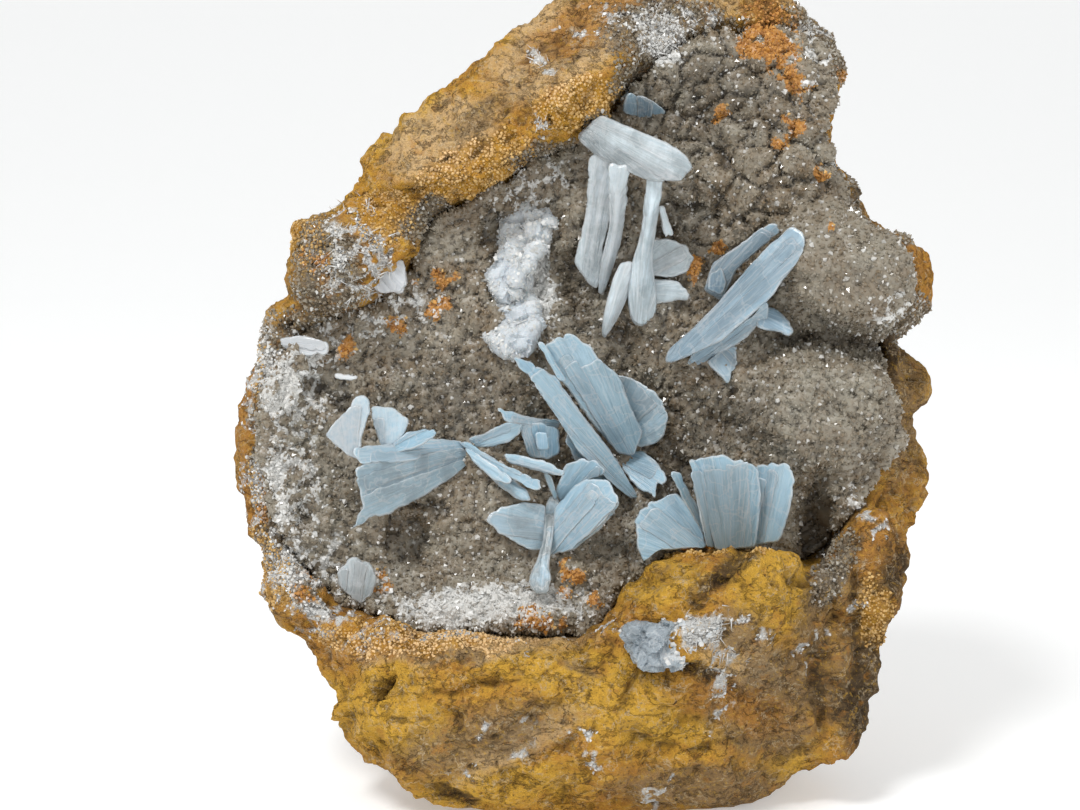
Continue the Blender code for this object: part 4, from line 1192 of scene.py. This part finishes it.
# %% The sprays' blades
SPRAYS = {
    "barite_centre_fan": ((14.5, -9.5), "blue", [
        blade("2.5,11 5,11.7 6.6,10.9 8.5,9.5 9.4,7.9 11,6.5 13,5 15,-.5 17,-4.5 15.5,-8.5 "
            "13,-8 8.5,-3 4,3.5 .5,9.5", (15, -9.5), (2.5, 11), 1.5, 13, -0.35, 1.1, 4, dim=0.2),
        blade("-4.5,8 -2.5,7.5 2.5,5 6.5,-1 12,-8 16.5,-15.5 15,-15.5 12.5,-13.5 6.5,-8 "
            "2.5,-1.5 -2,5", (16, -14.5), (-4, 8), 2, 14.6, 0.5, 1.2, 3),
        blade("12.5,5 15,4.6 17,3.5 18.6,2.4 20,1 20.9,-1.2 21,-3.5 20.4,-5.4 19,-6.5 16.5,-7 "
            "14.5,-6 13,1", (14, -5), (20.5, 0.5), 2, 7, 0.1, 0.7, 1, dim=0.8),
        blade("12,-8 15,-8 17,-7.5 19.5,-9.5 21,-12 20.3,-13.6 19.4,-12.6 19,-15.5 17.9,-14.2 "
            "17,-14.5 15,-12.5", (14.5, -10), (20, -13), 1, 5, -0.1, 0.8, 1),
        blade("4.5,-4 6,-4.5 8.5,-7.5 13,-9 13,-12 10.5,-14 8,-12 6,-9.5 4.5,-6.5",
            (12, -11), (4.5, -5), 1.5, 7, 0.2, 0.9, 1),
        blade("-.5,10.5 .5,10.5 4.5,4 3,4", (4, 4), (0, 10.5), 10, 14, thick=0.6),
    ]),
    "barite_left_spray": ((-11.5, -7.5), "blue", [
        blade("-31,-7 -24,-6.5 -17.5,-5.5 -12.5,-6 -12,-7 -16.5,-8 -22,-9.5 -30,-9.5",
            (-12.5, -6.5), (-30.5, -8), 0.5, 11.6, 0.35, 1.1, 2),
        blade("-30.5,-10 -23,-8.5 -16.5,-7.5 -12.5,-7 -11,-9 -14.5,-12 -20,-15.5 -25,-18 "
            "-28,-18.5 -31.5,-21 -29.2,-17 -30,-14",
            (-12, -8.5), (-29, -14.5), 0.5, 10, -0.45, steps=3, dim=0.8),
        blade("-30,1.5 -29,1.5 -28,0 -28.5,-2.5 -29.5,-5.5 -29.5,-9 -31.5,-8.5 -35.5,-5 -34,-3 "
            "-32,-1", (-30.5, -7.5), (-29.5, 1), 10.5, 12, 0.2, 1.4, 1, white=0.6),
        blade("-28,-.5 -26,0 -24,-.5 -21.5,-2.5 -22,-4 -24,-7.5 -26,-7.5 -27.5,-3",
            (-25, -7), (-25, -0.5), 7, 8, 0.1, steps=1, white=0.5),
        blade("-24.5,-6.5 -22,-4.5 -19,-4 -17,-4 -17,-5 -20,-7 -24,-8",
            (-23, -7), (-17, -4), 7.5, 7.5, 0.1, 0.7, 1),
        blade("-13.5,-6 -12,-6 -6.5,-9.5 0,-12.5 0,-14 -2,-13.5 -6.5,-11.5 -11.5,-8",
            (-13, -6.5), (0, -13), 1.5, 8, 0.3, steps=1),
        blade("-10,-9.5 -8,-9.5 -1.5,-14.5 -1.5,-16 -3,-16 -7.5,-13",
            (-9, -11), (-1.5, -15.5), 2.2, 5, 0.2, 1.2, 1, 0.5),
        blade("-12,-5.5 -10,-5 -6,-3 -3,-2.5 -3,-4.5 -5,-6 -8,-7 -11,-7",
            (-11.5, -6.5), (-3, -3), 1, 6, 0.3, 0.9, 1),
        blade("-7,-.5 -5.5,-1 -1.5,-2 3.5,-2.5 3,-4 -1.5,-3.5 -5.5,-3",
            (3, -3), (-7, -1), 1.5, 9, 0.1, 0.9, 1),
        blade("-6,-8 -4.5,-8 0,-9 3.5,-10.5 4,-11.5 1.5,-11.5 -3.5,-10 -5.5,-9.5",
            (-6, -8.5), (3.5, -11), 4.5, 7, 0.2, steps=1),
        blade("-3.5,-3 1,-3 3.2,-4 3.2,-8 1.5,-9 -2,-8.5",
            (-1, -8), (-2.5, -3.5), 2.5, 5, 0.1, 1.2, 1, white=0.2),
        blade("-1,-4.5 1.4,-4.3 1.6,-7.4 -.4,-7.6",
            (0, -7.5), (0, -4.5), 4.3, 5.6, 0.1, 0.8, white=0.15),
        blade("-12.5,-7 -11,-7.5 -4.5,-12 -5,-13 -7.5,-12.5 -11,-9.5",
            (-12, -8), (-5, -12.5), 2.5, 6, 0.2, 0.7),
    ]),
    "barite_lower_spray": ((2.5, -18), "blue", [
        blade("1,-16 2,-14.5 3.5,-16 2.5,-19 2,-23 1.5,-26.5 2,-29 1,-31.5 -1,-31 -2,-29 "
            "-.5,-25.5 .5,-22.5",
            (2, -16), (-0.5, -30.5), 2.5, 8, 0.3, round_=0.25, rag=0.4, dim=2.2),
        blade("1,-25 1.5,-21.5 2.5,-17 5.5,-13.5 8,-12 10.5,-12 12.5,-14.5 13,-16 10,-20 5,-24",
            (1.5, -24), (11.5, -12.5), 3, 9, -0.3, 0.9, 4),
        blade("-9,-19 -7,-17 -4.5,-16.5 -2.5,-16 1,-16.5 1,-20.5 .5,-24 -1.5,-24 -4.5,-22.5 "
            "-7,-21", (1, -20.5), (-8.5, -19), 3.0, 5, 0.1, 0.6, 1, dim=0.7),
        blade("2.5,-14.5 4,-10 6.5,-9 9,-9 11,-11 8,-12.5 6,-13.5 4,-17",
            (3, -16.5), (9, -10), 1.5, 5, 0.1, 0.6, 1),
        blade("3.5,-24.5 6,-22 10,-18.5 13,-15.5 13,-16.5 10,-20.5 5.5,-24",
            (4, -24), (13, -16), 2.5, 6, 0.1, 0.8, 1),
        blade(".5,-11 1.4,-11 3,-15 2.4,-16", (2.6, -15.5), (1, -11), 2.5, 6, thick=0.7),
    ]),
    "barite_right_book": ((30, -20), "blue", [
        blade("24.5,-9 27.5,-8.5 30.5,-8.5 33.5,-9 36,-10.5 36.5,-15 36,-20.5 35.5,-23.5 29,-24 "
            "27,-17.5", (31.5, -25.5), (30.5, -8.5), 1, 9.5, -0.1, 1.2, 2, white=0.08),
        blade("35.5,-10 39,-9.5 41.5,-10 42,-12.5 41.5,-16 40.5,-20 39.5,-22.5 34,-23.5 "
            "35,-15.5", (37.5, -24), (40.5, -10), 2, 8, -0.4, 1.1, 2),
        blade("24.5,-9 25.5,-9 28,-14 30,-23.5 27.5,-23.5 26,-16.5",
            (28.5, -24.5), (25, -9), 1, 11, 0.8, 0.9, 1),
        blade("21.5,-11 23,-11 25,-15 28,-20 27,-21.5 23.5,-15.5",
            (26.5, -21), (22, -11), 1.5, 9, 0.3, steps=1),
        blade("15.5,-19 18,-16 20,-15.5 22.5,-14.5 25,-17 26.5,-19.5 27.5,-23.5 19.5,-24 17,-26 "
            "16,-23", (25, -23.5), (16.5, -17.5), 1.5, 1.8, 0.1, 1.1, 1, white=0.25),
    ]),
    "barite_upper_right_blades": ((25.5, 10), "deep", [
        blade("20.5,7 21,9 25,12.5 29,16.5 32,20 35.5,24 38.5,27 41.5,29.5 43.5,28.5 44,26.5 "
            "42.5,23.5 40,20.5 38.5,18 34.5,14.5 30,10.5 25.5,8.5 22,7",
            (24.5, 10), (43, 27.5), 3, 13, -0.45, 1.6, 3, 0.2, rag=0.5),
        blade("27,19 28.5,23.5 33,26.5 37,29.5 39.5,30 39.5,28.5 36.5,26 32.5,22.5 30,17",
            (29, 19.5), (39, 29.5), 1.5, 9, 0.4, 1.1, 2),
        blade("24,6.5 25,8.5 30,11 34.5,14.5 37.5,17 37.5,14.5 34,11 29,8 26,6.5",
            (26.5, 8), (37, 15.5), 1, 8, 0.5, 1.1, 1),
        blade("35,15 37,16.5 39,16 42,13 41.5,11.5 39.5,12 36,12.5",
            (36.5, 14.5), (41.5, 12), 6.5, 7, -0.2, 1.3, round_=0.4, white=0.2),
        blade("28,22 30,23 31,20 30,18 27.5,19", (29, 18.5), (29.5, 23), 2, 4),
        blade("27.5,7 29.5,9 32.5,10 32.5,6.5 31.6,5 31,3.5 30,4.5 28.5,6",
            (28, 8), (31, 4), 2, 3, steps=1, white=0.2, dim=0.8),
    ]),
    "barite_mushroom_spray": ((16, 16), "pale", [
        blade("6,44.5 10,48 14.5,46 20.5,43.5 24,41.5 25.5,39.5 23.5,37 18.5,36.8 15.5,38 "
            "12.5,39.5 10,40.5 6.5,43.5",
            (9, 46), (23, 38.5), 9, 18, 0.35, 2.0, 3, 0.35, 0.1, 0.5, 0.6),
        blade("17.8,39 20.6,39 19.3,30 18.5,23.5 19.5,17.5 19,14 17,12.5 15,13.5 14.3,18 "
            "14.8,22.5 16.6,28", (16.5, 13), (19, 37), 1, 12.6, 0.2, 1.9, 1, 0.8, 0.2, 0.4),
        blade("13,23.5 15.5,24 15,19 13,14.5 10.5,10.5 10,12 11,17.5",
            (11, 11.5), (14.5, 23), 1, 6, 0.3, 1.6, 1, 0.6, 0.2, 0.4),
        blade("8.5,42 12,41.5 12,32 10.5,26.5 9.5,19 8,20 5.5,23.5 6.5,27 7.5,31.5",
            (7.5, 20), (10.5, 39.5), 0.5, 8, -0.2, 1.5, 3, 0.3, 0.35, dim=0.5),
        blade("11.5,40 15,39.5 13.5,27 12,22.5 10.5,18 9.5,18 10,23.5 11.5,29.5",
            (10, 18.5), (13.5, 37.5), 0.5, 11.5, 0.2, 1.4, 2, 0.5, 0.4),
        blade("17,27 21,27.5 24,26.5 25.5,24.5 24.5,22 22,21 17,21.5",
            (18.5, 22.5), (24.5, 25.5), 3.8, 4.5, 0.1, steps=1, dim=1.2),
        blade("17,21 23,20.5 25,18.5 24.5,17.5 21,17 17,16",
            (18.5, 18.5), (24.5, 18), 2.6, 4, 0.2, 1.2, round_=0.3, dim=0.7),
        blade("19.5,33 20.5,33 22,28 20.5,27.5", (20, 33), (21.5, 28), 7, 5, thick=0.7),
    ]),
    "small_top_plate": ((17, 47.5), "deep", [
        blade("13.5,48.5 14.5,51.5 18,50.5 21,48.5 20.5,47.2 16,47.2",
            (17, 47.5), (17, 50.5), 0.5, 5, 0.1, 1.4, 2),
        blade("13,50.5 16.5,53.5 17.5,53 17,51.5 14,49.5", (14, 50), (17, 53), 1, 2.5),
    ]),
    "pale_left_plate": ((-27, 23.5), "white", [
        blade("-28,24 -22.5,24 -22,21 -22.5,18.5 -26.5,18.5 -28,20",
            (-27, 23.5), (-23, 18.5), 4, 3.5, 0.1, 2.0, 3, white=0.35),
    ]),
    "far_left_blade": ((-42, 10.5), "white", [
        blade("-43,11 -39.5,11.5 -35,10.5 -35,8.5 -39,8 -42.5,9.5",
            (-42, 10.5), (-35.5, 9.5), 1.5, 3, 0.3, 1.6, 2, white=0.6),
        blade("-34,5.3 -30,4.8 -30.2,3.9 -34,4.3",
            (-34, 5), (-30, 4.4), 2, 3, thick=0.9, white=0.8),
    ]),
    "lower_left_plate": ((-30.5, -32.5), "pale", [
        blade("-33.5,-27.5 -31,-25 -28.5,-25.8 -26.8,-28.5 -27.5,-31 -29.5,-33 -31.5,-31.5 "
            "-33.2,-30", (-30.5, -32.5), (-29.5, -25.5), 1.5, 4, 0.1, 2.0, 2, white=0.25, dim=0.6),
    ]),
}


# %% [markdown]
# Barite is translucent, so light sinks in a little way. Fine lines follow the growth, and
# each blade has a tone of its own. White streaks along the growth are partly striae and partly
# painted highlight, and the rims get a painted highlight.

# %% Barite material
BARITE = (0.38, 0.60, 0.75)
BARITE_DEEP = (0.28, 0.48, 0.63)
BARITE_PALE = (0.64, 0.80, 0.88)
# Chalky white, also used for the painted highlights on streaks and rims.
BARITE_CHALK_AND_HIGHLIGHT = (0.76, 0.80, 0.82)
BARITE_CLEAR = (0.22, 0.26, 0.27)


def barite_material(name, deep, middle, pale):
    barite = Recipe(name)
    own = barite.mask("own")
    along, across = barite.mask("along"), barite.mask("across")

    def lines(width, run):
        """Noise drawn out along the growth, width across and run along it, in mm."""
        spot = barite.node(
            "ShaderNodeCombineXYZ", {}, {0: across / width, 1: along / run, 2: own * 60.0}
        )
        made = barite.node("ShaderNodeTexNoise", {}, {
            "Vector": spot.outputs[0], "Scale": 1.0, "Detail": 4.0, "Roughness": 0.65,
        })
        return Number(barite, made.outputs["Fac"])

    fine_lines, bands, striae_and_highlights = lines(0.5, 7.0), lines(1.8, 11.0), lines(0.3, 16.0)
    cloud = barite.noise(4, 5)
    dim, white = barite.mask("dim"), barite.mask("white")
    cleavage = barite.thread(4, 0.5, 40, detail=3, rough=0.5)
    chalky = (white + (barite.noise(0.8, 5) - 0.5) * 1.2) * white
    colour = barite.layered(
        deep, (cloud.ramp(0.32, 0.68), middle),
        (bands.ramp(0.52, 0.38) * 0.6, tuple(0.62 * part for part in deep)), (dim * 0.6, deep),
        (own * 0.25 + barite.mask("reach") * 0.15, pale), (fine_lines.ramp(0.50, 0.70) * 0.6, pale),
        # Partly striae, partly painted highlight: white streaks along the growth.
        (striae_and_highlights.ramp(0.58, 0.68) * 0.6, BARITE_CHALK_AND_HIGHLIGHT),
        (dim * cloud.ramp(0.7, 0.3) * 0.9, BARITE_CLEAR), (cleavage * 0.3, BARITE_CHALK_AND_HIGHLIGHT),
        # Painted highlight on the rims.
        (barite.mask("rim") * (cloud.ramp(0.35, 0.60) * 0.6 + 0.15), BARITE_CHALK_AND_HIGHLIGHT),
        (chalky.ramp(0.1, 0.6), BARITE_CHALK_AND_HIGHLIGHT),
    )
    barite.bump(fine_lines * 0.8 + bands * 0.5 + barite.noise(0.6, 3) * 0.2, 0.3, 0.6)
    return barite.finish(
        Base_Color=colour, Roughness=0.24, IOR=1.636, Transmission_Weight=0.2,
        Subsurface_Weight=0.3, Subsurface_Radius=(0.8, 1.0, 1.1), Subsurface_Scale=0.0015,
    )


# %% [markdown]
# Five looks are enough: the blue of most blades, a deeper one, a clear glassy one, a white
# one, and the dark grey-blue of the seam in the lip.

# %% Barite sprays
LOOKS = {
    look: barite_material(name, *tones) for look, name, *tones in (
        ("blue", "blue_barite", BARITE_DEEP, BARITE, BARITE_PALE),
        ("deep", "deep_blue_barite", (0.19, 0.32, 0.43), (0.31, 0.47, 0.60), (0.58, 0.72, 0.80)),
        ("pale", "glassy_barite", (0.33, 0.42, 0.46), (0.74, 0.88, 0.96), (0.90, 0.95, 0.98)),
        ("white", "white_barite", (0.62, 0.71, 0.79), (0.80, 0.86, 0.91), (0.93, 0.95, 0.97)),
        ("seam", "seam_barite", (0.24, 0.29, 0.33), (0.36, 0.42, 0.47), (0.62, 0.68, 0.71)),
    )
}
WHITE_PLATES = ("pale_left_plate", "far_left_blade", "lower_left_plate")


def build_sprays():
    for seed, (node, (root, look, shapes)) in enumerate(SPRAYS.items()):
        crystals = Crystals(seed)
        base = ground_at(*root)
        for shape in shapes:
            crystals.add(shape, base)
        made = crystals.finished(f"{node}_crystals", LOOKS[look])
        slot = "white_barite" if node in WHITE_PLATES else "blue_barite"
        finish_piece(made, slot, node)


build_sprays()

# %% [markdown]
# A grey-blue seam of coarse barite crosses the lip, and a white cluster of it stands in
# the hollow. Both are massive, so their skins are remeshed copies with broken relief.

# %% Massive barite
SEAM_FACET = 0.3


def build_massive(node, name, look, seed, swell, whiteness):
    skin, places = fine_skin(node, name, SEAM_FACET, 2)
    data, spots = skin.data, places / MM
    bent = warped(spots, 2, 0.5)
    height = swell + 1.0 * chips(bent, 2.6, seed) + 0.3 * chips(bent, 1.3, seed + 1)
    move_to(data, places + normals_of(data) * height[:, None] * MM)
    for face in data.polygons:
        face.use_smooth = False
    a, b, _ = seen_at(places)
    whiteness = np.clip(whiteness(a, b) + 0.6 * grain(spots, 2.5, seed + 3), 0, 1)
    for key in BARITE_NUMBERS:
        paint(data, key, np.zeros(len(spots)))
    paint(data, "white", whiteness)
    paint(data, "own", 0.5 + 0.5 * grain(spots, 1.5, seed + 4))
    paint(data, "dim", grain(spots, 2.0, seed + 5))
    for key, values in (("along", b), ("across", a)):
        data.attributes[key].data.foreach_set("value", values.astype(np.float32))
    wear(skin, LOOKS[look])
    finish_piece(skin, "white_barite", node)
    finish_piece(scattered(f"{name}_flakes", skin, whiteness > 0.5, flake, white, 0.6, 0.4, 1.4,
                           0.9, seed), "white_barite")


build_massive("lip_seam", "lip_seam_barite", "seam", 51, -0.2,
              lambda a, b: 0.1 + 0.8 * patch(a, b, 26, -38, 5, 5, 0, 0.6))
build_massive("white_blade_cluster", "white_cluster_barite", "white", 81, 1.0,
              lambda a, b: 0.55 + 0.3 * patch(a, b, -1, 26, 5, 7))

# %% [markdown]
# The piece stands on a plain pale floor under soft studio light. The camera looks at the
# open face from straight in front, from as far away as in the photograph.

# %% Studio
ROOM_LIGHT = 0.55
SENSOR, LENS = 36, 70.7


def build_floor():
    """A pale sheet that lies flat and then curves up behind, with no edge in sight."""
    mesh = bmesh.new()
    profile = [(-3, 0), (0.5, 0)]
    profile += [(0.5 + math.sin(t), 1 - math.cos(t)) for t in np.linspace(0.1, 1.5, 15)]
    profile += [(1.6, 4)]
    lines = [[mesh.verts.new((x, y, z)) for x in (-3, 3)] for y, z in profile]
    for (left, right), (next_left, next_right) in zip(lines, lines[1:]):
        mesh.faces.new((left, right, next_right, next_left))
    floor = object_from(mesh, "floor")
    plain = Recipe("pale floor")
    floor.data.materials.append(plain.finish(
        Base_Color=(0.78, 0.79, 0.79), Roughness=0.6, Emission_Color=(1, 1, 1, 1),
        Emission_Strength=0.30,
    ))
    for face in floor.data.polygons:
        face.use_smooth = True


def aimed(name, data, spot):
    """A light or camera at a spot, turned towards the middle of the open face."""
    made = linked(name, data)
    made.location = spot
    made.rotation_euler = (MIDDLE - Vector(spot)).to_track_quat("-Z", "Y").to_euler()
    return made


def build_light(name, spot, size, power):
    data = bpy.data.lights.new(name, "AREA")
    data.shape = "DISK"
    data.size = size
    data.energy = power
    aimed(name, data, spot)


def build_studio():
    build_floor()
    build_light("key", spot=(-0.30, -0.40, 0.75), size=0.25, power=5.0)
    build_light("fill", spot=(0.55, -0.50, 0.35), size=0.40, power=1.4)
    world = bpy.data.worlds.new("white room")
    world.use_nodes = True
    background = world.node_tree.nodes["Background"].inputs
    background["Color"].default_value = (1, 1, 1, 1)
    background["Strength"].default_value = ROOM_LIGHT
    bpy.context.scene.world = world
    bpy.context.scene.view_settings.view_transform = "Standard"


def build_camera():
    data = bpy.data.cameras.new("camera")
    data.sensor_width = SENSOR
    data.lens = LENS
    bpy.context.scene.camera = aimed("camera", data, EYE)


build_studio()
build_camera()

# %% [markdown]
# Last, the helper crystals go.

# %% Finish
for helper in HELPERS:
    bpy.data.objects.remove(helper, do_unlink=True)
